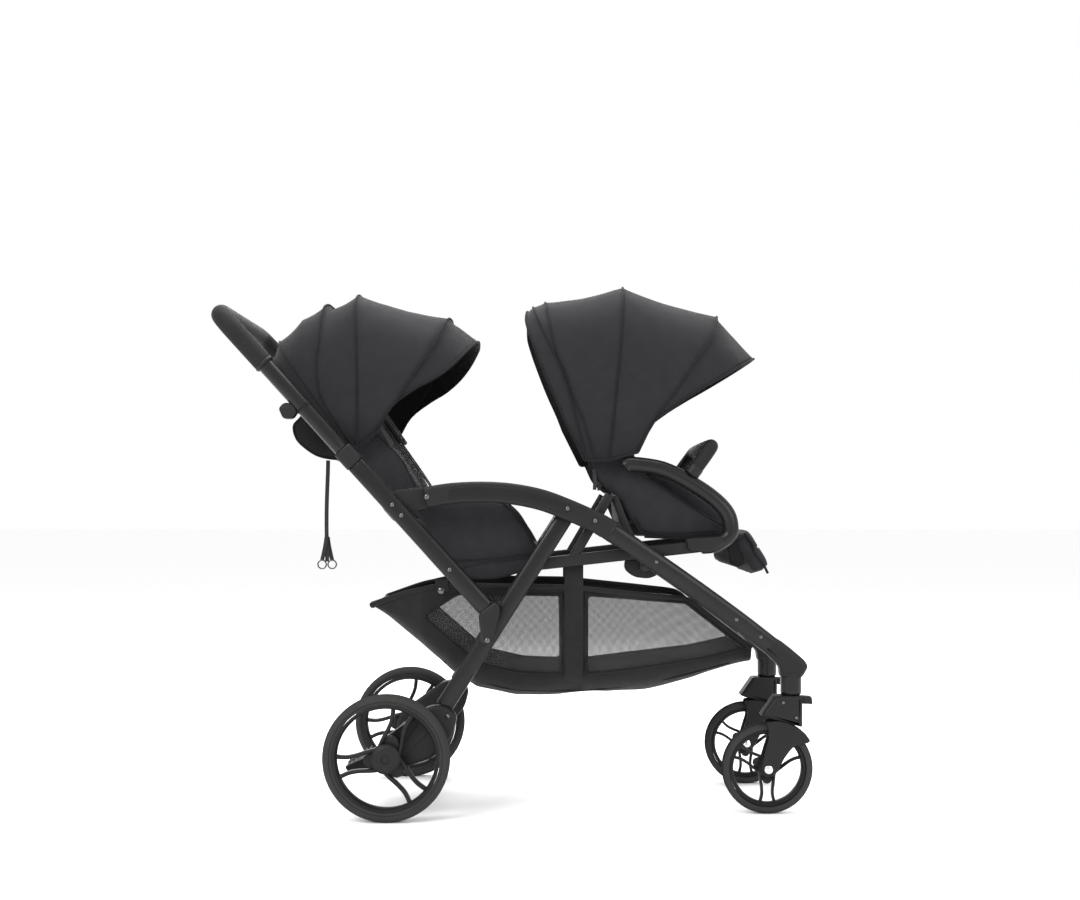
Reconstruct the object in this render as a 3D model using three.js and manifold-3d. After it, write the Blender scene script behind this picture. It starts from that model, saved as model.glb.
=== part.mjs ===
// Tandem pushchair: two seats in line on a scissor-folding frame, millimetres, +Z up.
// x runs forward from the rear axle, y to the rider's left, z up from the ground, while the parts
// are laid out; the finished group is moved so that its origin is the centre of its footprint.
import * as THREE from 'three';
import { mergeVertices } from 'three/addons/utils/BufferGeometryUtils.js';
import Module from 'manifold-3d';

const wasm = await Module();
wasm.setup();

// ---- driving dimensions -------------------------------------------------------------------
const WHEELBASE = 726;              // rear axle to front axle
const REAR_TRACK = 520;             // between the middles of the rear tyres, sets the whole width
const HANDLE_RISE = 840;            // rear axle up to the middle of the push bar
const FRAME_TOP = 580;              // height of the fold pivot above the ground

const REAR_WHEEL = { radius: 120, rim: 92, tread: 35, hub: 29, bore: 8 };
const FRONT_WHEEL = { radius: 87.5, rim: 62, tread: 30, hub: 17, bore: 7.4 };
const WHEEL_SIDES = 32;
const SPOKES = 3;

const GAP = 0.4;                    // between pieces that touch
const SLEEVE_GAP = 1.8;             // between the foam grip and the bar inside it
const RUNNING_GAP = 2;              // between pieces that slide past each other
const TUBE_WIDTH = 34;              // main tubes, seen from the side
const TUBE_DEPTH = 20;              // main tubes, across the pushchair
const RAIL_HEIGHT = 40;             // arch rail
const CASTER_TRAIL = 49;            // swivel axis ahead of the front axle
const FORK_PLATE = 8;
const ARM_RADIUS = 16.5;
const BUMPER_RADIUS = 13.5;
const BAR_RADIUS = 15;              // push bar
const GRIP_RADIUS = 19;
const CLOTH = 6;                    // wall of a soft shell
const HOOD_NEST = 0.94;             // size of a hood's fixed panel against the one that folds over it
const FRONT_SET_IN = 90;            // front tyres inside the rear ones, from middle to middle
const LEG_SET_IN = 42;              // rear legs inside the middles of the rear tyres
const SEAT_SET_IN = 38;             // sides of the seats inside the middles of the rear legs
const ARM_SET_OUT = 20;             // arm tubes outside the sides of the seats
const HOOD_OVERHANG = 20;           // hoods outside the sides of the seats

// ---- planes across the pushchair, from the middle outwards ------------------------------------
const REAR_WHEEL_Y = REAR_TRACK / 2;
const LEG_Y = REAR_WHEEL_Y - LEG_SET_IN;                 // rear legs
const OUTER_Y = LEG_Y + TUBE_DEPTH + RUNNING_GAP;         // arch rails and push-bar tubes
const RAIL_Y = LEG_Y - TUBE_DEPTH / 2 - RUNNING_GAP - 8;  // seat rails
const RAIL_DEPTH = 16;
const SEAT_HALF = LEG_Y - SEAT_SET_IN;
const CANOPY_HALF = SEAT_HALF + HOOD_OVERHANG;
const ARM_Y = SEAT_HALF + ARM_SET_OUT;
const CASTER_Y = REAR_WHEEL_Y - FRONT_SET_IN;

// ---- side-view points, [x, z] ----------------------------------------------------------------
const REAR_AXLE = [0, REAR_WHEEL.radius];
const FRONT_AXLE = [WHEELBASE, FRONT_WHEEL.radius];
const SWIVEL_X = WHEELBASE + CASTER_TRAIL;
const FOLD_PIVOT = [340, FRAME_TOP];
const HANDLE_PIVOT = [189, 339];
const LEG_FOOT = [106, REAR_WHEEL.radius + 92];
const ARCH_END = [70, FRAME_TOP + 28];
const PUSH_BAR = [-322, REAR_WHEEL.radius + HANDLE_RISE];
const HANDLE_FOOT = [186, 400];
const KNEE = [SWIVEL_X - 1, 290];
const FRONT_LEG_TOP = [FOLD_PIVOT[0] + 80, FRAME_TOP - 34];
const REAR_CANOPY_PIVOT = [-63, 706];
const FRONT_CANOPY_PIVOT = [422, 615];
const REAR_RECLINE = [62, 600];
const FRONT_RECLINE = [430, 640];

// ---- materials -----------------------------------------------------------------------------
const finish = (colour, roughness, metalness) => () => new THREE.MeshStandardMaterial({
  color: colour, roughness, metalness,
});
const tubePaint = finish(0x2b2b2d, 0.35, 0.6);
const plastic = finish(0x232325, 0.55, 0);
const cloth = finish(0x2a2a2c, 0.9, 0);
const mesh = finish(0x4a4a4c, 0.95, 0);
const rubber = finish(0x1d1d1f, 0.85, 0);
const foam = finish(0x202022, 0.8, 0);
const steel = finish(0xb9bbbe, 0.3, 1);
const webbing = finish(0x1b1b1d, 0.9, 0);

// ---- shape helpers ---------------------------------------------------------------------------
const group = new THREE.Group();

function add(name, geometry, material) {
  const part = new THREE.Mesh(geometry, material());
  part.name = name;
  group.add(part);
  return part;
}

const mix = (a, b, t) => a.map((v, i) => v + (b[i] - v) * t);
const at = ([x, z], y) => new THREE.Vector3(x, y, z);
const bothSides = (build) => [['l', 1], ['r', -1]].forEach(([tag, side]) => build(tag, side));

function outlineShape(points) {
  return new THREE.Shape(points.map(([x, z]) => new THREE.Vector2(x, z)));
}

function hole([x, z], radius, sides = 16) {
  const path = new THREE.Path();
  for (let i = 0; i < sides; i += 1) {
    const turn = (2 * Math.PI * i) / sides;
    const point = [x + radius * Math.cos(turn), z + radius * Math.sin(turn)];
    if (i === 0) path.moveTo(...point); else path.lineTo(...point);
  }
  path.closePath();
  return path;
}

// a flat plate with a side-view outline, between two distances from the middle plane
function plate(shape, side, inner, outer) {
  const geometry = new THREE.ExtrudeGeometry(shape, { depth: outer - inner, bevelEnabled: false });
  geometry.rotateX(Math.PI / 2);
  geometry.translate(0, side > 0 ? outer : -inner, 0);
  return geometry;
}

// the same plate from side to side
const slab = (shape, half) => plate(shape, 1, -half, half);

function ovalSection(width, depth, sides = 12) {
  const points = [];
  for (let i = 0; i < sides; i += 1) {
    const turn = (2 * Math.PI * (i + 0.5)) / sides;
    const bulge = (v) => Math.sign(v) * Math.abs(v) ** 0.7;
    points.push(new THREE.Vector2(
      (bulge(Math.cos(turn)) * width) / 2,
      (bulge(Math.sin(turn)) * depth) / 2,
    ));
  }
  return new THREE.Shape(points);
}

// a straight oval tube from a to b; its depth lies across the pushchair
function bar(a, b, width, depth, sides = 12) {
  const along = new THREE.Vector3().subVectors(b, a);
  const length = along.length();
  const section = ovalSection(width, depth, sides);
  const geometry = new THREE.ExtrudeGeometry(section, { depth: length, bevelEnabled: false });
  along.normalize();
  const across = new THREE.Vector3(0, 1, 0).addScaledVector(along, -along.y).normalize();
  const width3 = new THREE.Vector3().crossVectors(across, along);
  geometry.applyMatrix4(new THREE.Matrix4().makeBasis(width3, across, along).setPosition(a));
  return geometry;
}

// a round tube along a curve
function roundTube(curve, radius, steps, sides = 12) {
  const section = new THREE.Shape(hole([0, 0], radius, sides).getPoints().slice(0, sides));
  return new THREE.ExtrudeGeometry(section, { steps, extrudePath: curve, bevelEnabled: false });
}

// a round tube straight across the pushchair
const crossTube = ([x, z], radius, half, y = 0) => new THREE.CylinderGeometry(radius, radius,
  2 * half, 16).translate(x, y, z);

function lathe(profile, sides, y) {
  const points = profile.map(([radius, height]) => new THREE.Vector2(radius, height));
  const start = Math.PI / sides;
  return new THREE.LatheGeometry(points, sides, start).translate(0, y, 0);
}

// a band of even height along a side-view curve
function ribbon(points, height, steps) {
  const curve = new THREE.SplineCurve(points.map(([x, z]) => new THREE.Vector2(x, z)));
  const edge = (offset) => Array.from({ length: steps + 1 }, (_, i) => {
    const middle = curve.getPoint(i / steps);
    const run = curve.getTangent(i / steps);
    return [middle.x - run.y * offset, middle.y + run.x * offset];
  });
  return outlineShape([...edge(-height / 2), ...edge(height / 2).reverse()]);
}

function solid(geometry) {
  const bare = geometry.clone();
  bare.deleteAttribute('normal');
  bare.deleteAttribute('uv');
  const merged = mergeVertices(bare, 1e-4);
  return new wasm.Manifold(new wasm.Mesh({
    numProp: 3,
    vertProperties: new Float32Array(merged.attributes.position.array),
    triVerts: new Uint32Array(merged.index.array),
  }));
}

function geometryOf(manifold) {
  const { vertProperties, triVerts } = manifold.getMesh();
  const geometry = new THREE.BufferGeometry();
  geometry.setAttribute('position', new THREE.BufferAttribute(new Float32Array(vertProperties), 3));
  geometry.setIndex(new THREE.BufferAttribute(new Uint32Array(triVerts), 1));
  geometry.computeVertexNormals();
  return geometry;
}

const cut = (a, ...tools) => geometryOf(tools.reduce((s, t) => s.subtract(solid(t)), solid(a)));
const join = (a, ...more) => geometryOf(more.reduce((s, m) => s.add(solid(m)), solid(a)));

// ---- wheels ------------------------------------------------------------------------------------
// radii are to the middles of the tyre's flats, so that a flat lies on the ground
const toCorner = (radius) => radius / Math.cos(Math.PI / WHEEL_SIDES);

function tyre(wheel) {
  const half = wheel.tread / 2;
  const seat = toCorner(wheel.rim + GAP);
  return [
    [seat, -half + 4], [toCorner(wheel.radius - 9), -half], [toCorner(wheel.radius - 2), -half + 7],
    [toCorner(wheel.radius), -half + 12], [toCorner(wheel.radius), half - 12],
    [toCorner(wheel.radius - 2), half - 7], [toCorner(wheel.radius - 9), half], [seat, half - 4],
    [seat, -half + 4],
  ];
}

// a dish with big round-ended windows between its spokes
function rimShape(wheel) {
  const shape = new THREE.Shape(hole([0, 0], toCorner(wheel.rim), WHEEL_SIDES).getPoints()
    .slice(0, WHEEL_SIDES));
  shape.holes.push(hole([0, 0], wheel.bore, 12));
  const inner = wheel.hub + 8;
  const outer = wheel.rim - 9;
  for (let spoke = 0; spoke < SPOKES; spoke += 1) {
    const middle = (2 * Math.PI * (spoke + 0.5)) / SPOKES + Math.PI / 2;
    const half = Math.PI / SPOKES - 0.3;
    const points = [];
    for (let i = 0; i <= 10; i += 1) {
      const turn = middle - half + (2 * half * i) / 10;
      points.push([outer * Math.cos(turn), outer * Math.sin(turn)]);
    }
    for (let i = 4; i >= 0; i -= 1) {
      const turn = middle - half * 0.6 + (1.2 * half * i) / 4;
      points.push([inner * Math.cos(turn), inner * Math.sin(turn)]);
    }
    shape.holes.push(new THREE.Path(points.map(([x, z]) => new THREE.Vector2(x, z))));
  }
  return shape;
}

function wheelParts(prefix, wheel, [x, z], tag, side, y) {
  const ring = lathe(tyre(wheel), WHEEL_SIDES, side * y).translate(x, 0, z);
  add(`${prefix}_tyre_${tag}`, ring, rubber);
  const half = wheel.tread / 2 - 5;
  const dish = plate(rimShape(wheel), side, y - half, y + half).rotateY(Math.PI / WHEEL_SIDES);
  add(`${prefix}_rim_${tag}`, dish.translate(x, 0, z), plastic);
}

bothSides((tag, side) => {
  wheelParts('rear', REAR_WHEEL, REAR_AXLE, tag, side, REAR_WHEEL_Y);
  const face = REAR_WHEEL_Y + REAR_WHEEL.tread / 2 - 5 + GAP;
  const cap = lathe([[0, 0], [REAR_WHEEL.hub, 0], [REAR_WHEEL.hub, 4], [REAR_WHEEL.hub - 6, 9],
    [0, 9]], 24, 0);
  if (side < 0) cap.rotateX(Math.PI);
  add(`rear_hub_cap_${tag}`, cap.translate(REAR_AXLE[0], side * face, REAR_AXLE[1]), plastic);
  wheelParts('front', FRONT_WHEEL, FRONT_AXLE, tag, side, CASTER_Y);
});

// ---- rear legs and axle --------------------------------------------------------------------------
const legTop = mix(LEG_FOOT, FOLD_PIVOT, 0.985);
const rearLeg = (side, extra = 0) => bar(at(LEG_FOOT, side * LEG_Y), at(legTop, side * LEG_Y),
  TUBE_WIDTH + extra, TUBE_DEPTH + extra);

// measured from the axle
const housingOutline = [
  [-25, 0], [-14, -22], [14, -24], [72, 30], [128, 84], [128, 116], [92, 120], [60, 94], [-14, 26],
];
const fromAxle = (points) => outlineShape(points.map(([x, z]) => [x + axleX, z + axleZ]));
const [axleX, axleZ] = REAR_AXLE;

bothSides((tag, side) => {
  add(`rear_leg_${tag}`, rearLeg(side), tubePaint);
  const wheelFace = REAR_WHEEL_Y - REAR_WHEEL.tread / 2 - RUNNING_GAP;
  const shell = plate(fromAxle(housingOutline), side, LEG_Y - TUBE_DEPTH / 2 - 3, wheelFace);
  add(`axle_housing_${tag}`, cut(shell, rearLeg(side, 2 * GAP)), plastic);
});

const beamHalf = LEG_Y - TUBE_DEPTH / 2 - 3 - GAP;
add('rear_axle_beam', crossTube(REAR_AXLE, 12, beamHalf), tubePaint);
const pedal = [[-86, -28], [-80, -36], [-40, -32], [-16, -16], [-16, 8], [-44, -8]];
add('brake_pedal', plate(fromAxle(pedal), -1, 90, beamHalf - 6), plastic);

// ---- front frame: arch rails, legs, knees, seat rails ----------------------------------------------
const frontLeg = (side, extra = 0) => {
  const top = at(FRONT_LEG_TOP, side * OUTER_Y);
  const foot = at(mix(FRONT_LEG_TOP, KNEE, 0.95), side * (CASTER_Y + 3));
  return bar(top, foot, TUBE_WIDTH + extra, 18 + extra);
};
const archLine = [
  ARCH_END, [118, FRAME_TOP + 36], [174, FRAME_TOP + 39], [231, FRAME_TOP + 36],
  [288, FRAME_TOP + 25], FOLD_PIVOT, [398, FRAME_TOP - 19],
];
const seatRailLine = [[271, 480], [441, 499], [605, 517]];

function kneeCasting(side) {
  const [x, z] = KNEE;
  const outline = [[x - 42, z + 40], [x - 8, z + 34], [x + 20, z + 16], [x + 32, z - 4], [x + 30, z - 24],
    [x + 22, z - 32], [x + 22, z - 64], [x - 20, z - 64], [x - 20, z - 30], [x - 46, z - 8]];
  return cut(plate(outlineShape(outline), side, CASTER_Y - 21, CASTER_Y + 21), frontLeg(side, 2 * GAP));
}

function armCurve(side) {
  const route = [[448, 655], [470, 671], [517, 664], [575, 641], [617, 612], [643, 578], [653, 547],
    [643, 527]];
  return new THREE.CatmullRomCurve3(route.map((p) => at(p, side * ARM_Y)));
}

bothSides((tag, side) => {
  add(`arch_rail_${tag}`, plate(ribbon(archLine, RAIL_HEIGHT, 14), side, OUTER_Y - 9, OUTER_Y + 9),
    plastic);
  add(`front_leg_${tag}`, frontLeg(side), tubePaint);
  add(`knee_${tag}`, kneeCasting(side), plastic);
  add(`seat_rail_${tag}`, plate(ribbon(seatRailLine, 23, 8), side, RAIL_Y - RAIL_DEPTH / 2,
    RAIL_Y + RAIL_DEPTH / 2), plastic);
  add(`seat_support_${tag}`, bar(at([364, 512], side * RAIL_Y), at(FRONT_CANOPY_PIVOT, side * RAIL_Y),
    20, RAIL_DEPTH, 8), tubePaint);
  add(`front_arm_${tag}`, roundTube(armCurve(side), ARM_RADIUS, 20), tubePaint);
});

add('seat_cross_tube', crossTube([490, 478], 11, RAIL_Y), tubePaint);
add('front_cross_tube', crossTube([KNEE[0] - 37, KNEE[1] + 32], 9, CASTER_Y - 21 - GAP), tubePaint);

function bumperCurve() {
  const corner = 60;
  const half = [[584, ARM_Y, 662], [597, ARM_Y, 679], [611, ARM_Y - 4, 696], [619, ARM_Y - 16, 703],
    [621, ARM_Y - corner, 704]];
  const points = [...half, [622, 0, 704], ...half.map(([x, y, z]) => [x, -y, z]).reverse()];
  return new THREE.CatmullRomCurve3(points.map((p) => new THREE.Vector3(...p)), false, 'centripetal');
}
add('bumper_bar', roundTube(bumperCurve(), BUMPER_RADIUS, 30), foam);

// ---- casters -------------------------------------------------------------------------------------
const forkInner = FRONT_WHEEL.tread / 2 + RUNNING_GAP;
const forkOuter = forkInner + FORK_PLATE;
const housingFloor = 2 * FRONT_WHEEL.radius + 5;

function caster(side) {
  const x = SWIVEL_X;
  const [ax, z] = FRONT_AXLE;
  const crown = outlineShape([[x - 59, housingFloor], [x + 30, housingFloor], [x + 20, 208], [x + 18, 223],
    [x - 20, 223], [x - 34, 214], [x - 56, 206]]);
  const cheek = outlineShape([[x - 38, housingFloor + 4], [x + 28, housingFloor + 4], [x + 36, z + 74],
    [x + 32, z + 46], [x + 4, z + 24], [ax + 17, z - 13], [ax - 7, z - 20], [ax - 17, z - 6],
    [ax - 13, z + 14], [ax + 5, z + 40], [x - 38, z + 78]]);
  cheek.holes.push(hole(FRONT_AXLE, FRONT_WHEEL.bore, 12));
  const inside = CASTER_Y - forkOuter;
  const outside = CASTER_Y + forkOuter;
  return join(plate(crown, side, inside, outside), plate(cheek, side, inside, inside + FORK_PLATE),
    plate(cheek, side, outside - FORK_PLATE, outside));
}

bothSides((tag, side) => {
  add(`caster_fork_${tag}`, caster(side), plastic);
  const reach = forkOuter + 3;
  const axleRadius = FRONT_WHEEL.bore - 2 * GAP;
  add(`front_axle_${tag}`, crossTube(FRONT_AXLE, axleRadius, reach, side * CASTER_Y), steel);
  const x = SWIVEL_X + 21;
  const lever = outlineShape([[x, 211], [x + 14, 209], [x + 21, 214], [x + 18, 222], [x, 223]]);
  add(`swivel_lock_${tag}`, plate(lever, side, CASTER_Y - 12, CASTER_Y + 12), plastic);
});

// ---- push bar --------------------------------------------------------------------------------------
const collarFoot = mix(HANDLE_FOOT, PUSH_BAR, 0.485);
const collarHead = mix(HANDLE_FOOT, PUSH_BAR, 0.535);
const lowerTube = (side, extra = 0) => bar(at(HANDLE_FOOT, side * OUTER_Y),
  at(collarFoot, side * OUTER_Y), TUBE_WIDTH + extra, TUBE_DEPTH + extra);

// from one collar up, across and down to the other, starting the given share of the way up
function pushBarCurve(share) {
  const corner = 55;
  const foot = mix(HANDLE_FOOT, PUSH_BAR, share);
  const bend = mix(HANDLE_FOOT, PUSH_BAR, 1 - corner / 740);
  const path = new THREE.CurvePath();
  const left = [at(foot, OUTER_Y), at(bend, OUTER_Y), at(PUSH_BAR, OUTER_Y), at(PUSH_BAR, OUTER_Y - corner)];
  const right = left.map(({ x, y, z }) => new THREE.Vector3(x, -y, z));
  path.add(new THREE.LineCurve3(left[0], left[1]));
  path.add(new THREE.QuadraticBezierCurve3(left[1], left[2], left[3]));
  path.add(new THREE.LineCurve3(left[3], right[3]));
  path.add(new THREE.QuadraticBezierCurve3(right[3], right[2], right[1]));
  path.add(new THREE.LineCurve3(right[1], right[0]));
  return path;
}

const hingeOutline = [[170, 335], [180, 320], [198, 319], [211, 335], [217, 375], [207, 412],
  [186, 432], [146, 402], [166, 372]];
const bracketOutline = [[-14, 590], [14, 562], [34, 578], [84, 592], [92, 612], [74, 628], [14, 622]];

bothSides((tag, side) => {
  add(`handle_tube_${tag}`, lowerTube(side), tubePaint);
  add(`handle_hinge_${tag}`, cut(plate(outlineShape(hingeOutline), side, OUTER_Y - 10, OUTER_Y + 12),
    lowerTube(side, 2 * GAP)), plastic);
  add(`arch_bracket_${tag}`, plate(outlineShape(bracketOutline), side, OUTER_Y - 24, OUTER_Y - 11),
    plastic);
  const end = (share) => at(mix(HANDLE_FOOT, PUSH_BAR, share), side * OUTER_Y);
  add(`fold_collar_${tag}`, bar(end(0.4855), end(0.5345), TUBE_WIDTH + 8, TUBE_DEPTH + 10), plastic);
});

add('push_bar', roundTube(pushBarCurve(0.536), BAR_RADIUS, 60), tubePaint);
add('push_bar_grip', cut(roundTube(pushBarCurve(0.825), GRIP_RADIUS, 40),
  roundTube(pushBarCurve(0.8), BAR_RADIUS + SLEEVE_GAP, 44)), foam);

// ---- seats -------------------------------------------------------------------------------------------
const wingDepth = 28;

// a seat with side wings: its outline less the space that the child sits in
function seat(outline, space) {
  return cut(slab(outlineShape(outline), SEAT_HALF), slab(outlineShape(space), SEAT_HALF - wingDepth));
}
add('rear_seat', seat(
  [[64, 585], [221, 593], [259, 551], [282, 509], [266, 497], [262, 461], [211, 453], [171, 451], [135, 480]],
  [[105, 530], [300, 518], [300, 640], [60, 640]],
), cloth);
add('front_seat', seat(
  [[430, 532], [425, 600], [436, 648], [498, 648], [626, 548], [626, 532]],
  [[450, 700], [460, 562], [700, 556], [700, 700]],
), cloth);

const pad = (a, b, thickness, half) => slab(ribbon([a, mix(a, b, 0.5), b], thickness, 2), half);
add('rear_backrest', pad([48, 618], [-118, 862], 24, SEAT_HALF - 8), cloth);
add('front_backrest', pad([408, 676], [326, 908], 24, SEAT_HALF - 10), cloth);
add('legrest', pad([668, 546], [729, 458], 20, SEAT_HALF - 25), cloth);
add('backrest_sling', slab(outlineShape([[-186, 750], [-170, 759], [-129, 712], [-112, 682], [-159, 699]]),
  SEAT_HALF - 20), cloth);

// ---- canopies ------------------------------------------------------------------------------------------
// a hood panel: the outline between two bows, hollow and open below, in front and behind
function hood(outline, half, mouth) {
  return cut(slab(outlineShape(outline), half), slab(outlineShape(mouth), half - CLOTH));
}
const inward = (centre, points, wall) => points.map((p) => {
  const length = Math.hypot(p[0] - centre[0], p[1] - centre[1]);
  return mix(centre, p, 1 - wall / length);
});

// roof points run from the back to the front; the mouth runs past both ends and below the hem
function hoodPanel(pivot, roof, hem, half, overhang) {
  const under = inward(pivot, roof, CLOTH);
  const back = mix(under[1], under[0], 1 + overhang);
  const front = mix(under[under.length - 2], under[under.length - 1], 1 + overhang);
  const below = hem.map(([x, z]) => [x, z - 40]);
  return hood([...roof, ...hem], half, [back, ...under.slice(1, -1), front,
    [front[0] + 40, below[0][1]], ...below, [back[0] - 60, below[below.length - 1][1]]]);
}

const nest = (pivot, points, share) => points.map((p) => mix(pivot, p, share));
const rearRoof = [[-229, 917], [-183, 958], [-122, 991], [-72, 1007]];
const rearFrontRoof = [[-71, 1009], [13, 992], [105, 976], [166, 916]];
add('rear_canopy_back', hoodPanel(REAR_CANOPY_PIVOT, nest(REAR_CANOPY_PIVOT, rearRoof, HOOD_NEST),
  [[-64, 722], [-76, 722]], CANOPY_HALF, 0.4), cloth);
add('rear_canopy_front', hoodPanel(REAR_CANOPY_PIVOT, rearFrontRoof,
  [[77, 815], [-9, 722], [-62, 722]], CANOPY_HALF + 10, 0.4), cloth);

const frontRoof = [[260, 967], [297, 991], [370, 1002], [443, 1025]];
const frontFrontRoof = [[445, 1026], [515, 1003], [633, 965], [703, 881]];
add('front_canopy_back', hoodPanel(FRONT_CANOPY_PIVOT, nest(FRONT_CANOPY_PIVOT, frontRoof, HOOD_NEST),
  [[425, 694], [378, 694]], CANOPY_HALF, 0.4), cloth);
add('front_canopy_front', hoodPanel(FRONT_CANOPY_PIVOT, frontFrontRoof,
  [[507, 754], [478, 694], [427, 694]], CANOPY_HALF + 10, 0.4), cloth);

// ---- basket --------------------------------------------------------------------------------------------
function basket() {
  const shareOfBase = ([share, z]) => [share * WHEELBASE, z];
  const rim = [[-0.054, 402], [0.135, 446], [0.475, 440], [0.789, 417], [0.964, 316]].map(shareOfBase);
  const floor = [[0.964, 276], [0.817, 245], [0.686, 225], [0.449, 209], [0.225, 226], [0.157, 258]]
    .map(shareOfBase);
  const halfBehind = LEG_Y - 34;
  const halfInFront = CASTER_Y - 32;
  const plan = (inset) => {
    const rear = halfBehind - inset;
    const front = halfInFront - inset;
    const head = 0.965 * WHEELBASE - inset;
    const taper = 0.66 * WHEELBASE;
    const tail = -60 + inset;
    const corners = [[tail, -rear], [taper, -rear], [head, -front], [head, front], [taper, rear],
      [tail, rear]];
    return new THREE.ExtrudeGeometry(outlineShape(corners), { depth: 800, bevelEnabled: false });
  };
  const outer = solid(slab(outlineShape([...rim, ...floor]), LEG_Y)).intersect(solid(plan(0)));
  const raised = (points, lift) => points.map(([x, z]) => [x, z + lift]);
  const space = slab(outlineShape([...raised(rim, 60), ...raised(floor, CLOTH)]), LEG_Y);
  return geometryOf(outer.subtract(solid(space).intersect(solid(plan(CLOTH)))));
}
add('basket', basket(), mesh);

// ---- recline strap -----------------------------------------------------------------------------------
const strapRoute = [[-0.145, 0, 0.686], [-0.1455, 0, 0.66], [-0.147, 0, 0.62], [-0.148, 0, 0.58],
  [-0.148, 0, 0.54], [-0.147, 0, 0.5], [-0.147, 0, 0.48]];
const strapCurve = new THREE.CatmullRomCurve3(
  strapRoute.map(([x, y, z]) => new THREE.Vector3(1000 * x, 1000 * y, 1000 * z)),
);
add('recline_strap', roundTube(strapCurve, 4, 12, 8), webbing);
const ring = new THREE.TorusGeometry(9, 1.6, 8, 20).rotateY(Math.PI / 2);
add('strap_ring', ring.translate(1000 * strapRoute[6][0], 0, 1000 * strapRoute[6][2] - 11.5), steel);

// ---- origin at the middle of the footprint --------------------------------------------------------
const box = new THREE.Box3().setFromObject(group);
group.position.x = -(box.min.x + box.max.x) / 2;

export default group;
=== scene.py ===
"""The looks of a tandem pushchair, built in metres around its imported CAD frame.

Side-view points are (x, z): x forward from the rear axle, z up from the ground.
y is 0 in the middle plane, positive to the left of someone pushing.
"""
import math

import bmesh
import bpy
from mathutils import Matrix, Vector, noise


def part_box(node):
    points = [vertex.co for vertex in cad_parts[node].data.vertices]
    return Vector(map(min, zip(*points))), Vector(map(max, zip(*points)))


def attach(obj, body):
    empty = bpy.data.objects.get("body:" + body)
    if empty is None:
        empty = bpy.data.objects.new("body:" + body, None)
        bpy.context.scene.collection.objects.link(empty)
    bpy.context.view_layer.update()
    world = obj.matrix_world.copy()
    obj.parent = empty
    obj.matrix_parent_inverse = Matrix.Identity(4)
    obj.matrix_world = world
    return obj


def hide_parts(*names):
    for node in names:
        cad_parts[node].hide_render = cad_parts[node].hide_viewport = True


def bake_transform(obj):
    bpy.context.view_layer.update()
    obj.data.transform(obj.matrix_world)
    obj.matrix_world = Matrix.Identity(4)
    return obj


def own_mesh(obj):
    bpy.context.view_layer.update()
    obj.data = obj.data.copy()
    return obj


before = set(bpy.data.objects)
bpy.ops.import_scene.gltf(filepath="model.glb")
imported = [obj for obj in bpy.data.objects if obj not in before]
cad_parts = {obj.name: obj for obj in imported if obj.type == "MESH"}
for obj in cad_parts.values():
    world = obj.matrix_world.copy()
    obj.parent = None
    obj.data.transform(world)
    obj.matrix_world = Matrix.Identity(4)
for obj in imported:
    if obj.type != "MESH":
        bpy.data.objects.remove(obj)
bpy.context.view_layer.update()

# ---- places taken from the frame ---------------------------------------------------------------------


def middle(node):
    low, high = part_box(node)
    return (Vector(low) + Vector(high)) / 2


AXLE = middle("rear_tyre_l")
REAR_RADIUS = AXLE.z
REAR_Y = AXLE.y
FRONT_AXLE = middle("front_tyre_l")
FRONT_RADIUS = FRONT_AXLE.z
FRONT_Y = FRONT_AXLE.y
WHEELBASE = FRONT_AXLE.x - AXLE.x
LEG_Y = middle("rear_leg_l").y
OUTER_Y = middle("handle_tube_l").y
RAIL_Y = middle("seat_rail_l").y
ARM_Y = middle("front_arm_l").y
SEAT_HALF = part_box("rear_seat")[1][1]
SIDES = (("l", 1), ("r", -1))
SWIVEL_X = WHEELBASE + 0.049

# main side-view points of the frame
FOLD_PIVOT = (0.340, 0.580)
LEG_FOOT = (0.106, 0.212)
HANDLE_FOOT = (0.186, 0.400)
PUSH_BAR = (-0.322, 0.960)
FRONT_LEG_TOP = (0.420, 0.546)
REAR_HOOD_PIVOT = (-0.063, 0.706)
FRONT_HOOD_PIVOT = (0.422, 0.615)

TUBE_WIDTH = 0.034
TUBE_DEPTH = 0.020
PIPING = 0.0024
MESH_PITCH = 0.0020


def at(x, z, y=0.0):
    """A point of the row frame from its place ahead of the rear axle, height and side."""
    return Vector((AXLE.x + x, y, z))


def mix(a, b, t):
    return tuple(p + (q - p) * t for p, q in zip(a, b))


# ---- materials ---------------------------------------------------------------------------------------

materials = {}


def material(name, colour, roughness, build=None, **inputs):
    """A node material made once; build adds its pattern."""
    if name in materials:
        return materials[name]
    made = bpy.data.materials.new(name)
    made.use_nodes = True
    shader = made.node_tree.nodes["Principled BSDF"]
    shader.inputs["Base Color"].default_value = (*colour, 1)
    shader.inputs["Roughness"].default_value = roughness
    for key, value in inputs.items():
        shader.inputs[key.replace("_", " ")].default_value = value
    if build:
        build(made.node_tree, shader)
    materials[name] = made
    return made


def node(tree, kind, **values):
    made = tree.nodes.new(kind)
    for key, value in values.items():
        if hasattr(made, key):
            setattr(made, key, value)
        else:
            made.inputs[key].default_value = value
    return made


def coordinates(tree):
    return node(tree, "ShaderNodeTexCoord").outputs["Object"]


def noise_of(tree, scale, detail=3.0):
    made = node(tree, "ShaderNodeTexNoise", Scale=scale, Detail=detail)
    tree.links.new(coordinates(tree), made.inputs["Vector"])
    return made.outputs["Fac"]


def ramp(tree, source, low, high):
    """source from 0 to 1 becomes low to high: colours or grey levels."""
    made = node(tree, "ShaderNodeMapRange")
    made.inputs["To Min"].default_value = low
    made.inputs["To Max"].default_value = high
    tree.links.new(source, made.inputs["Value"])
    return made.outputs["Result"]


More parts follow.
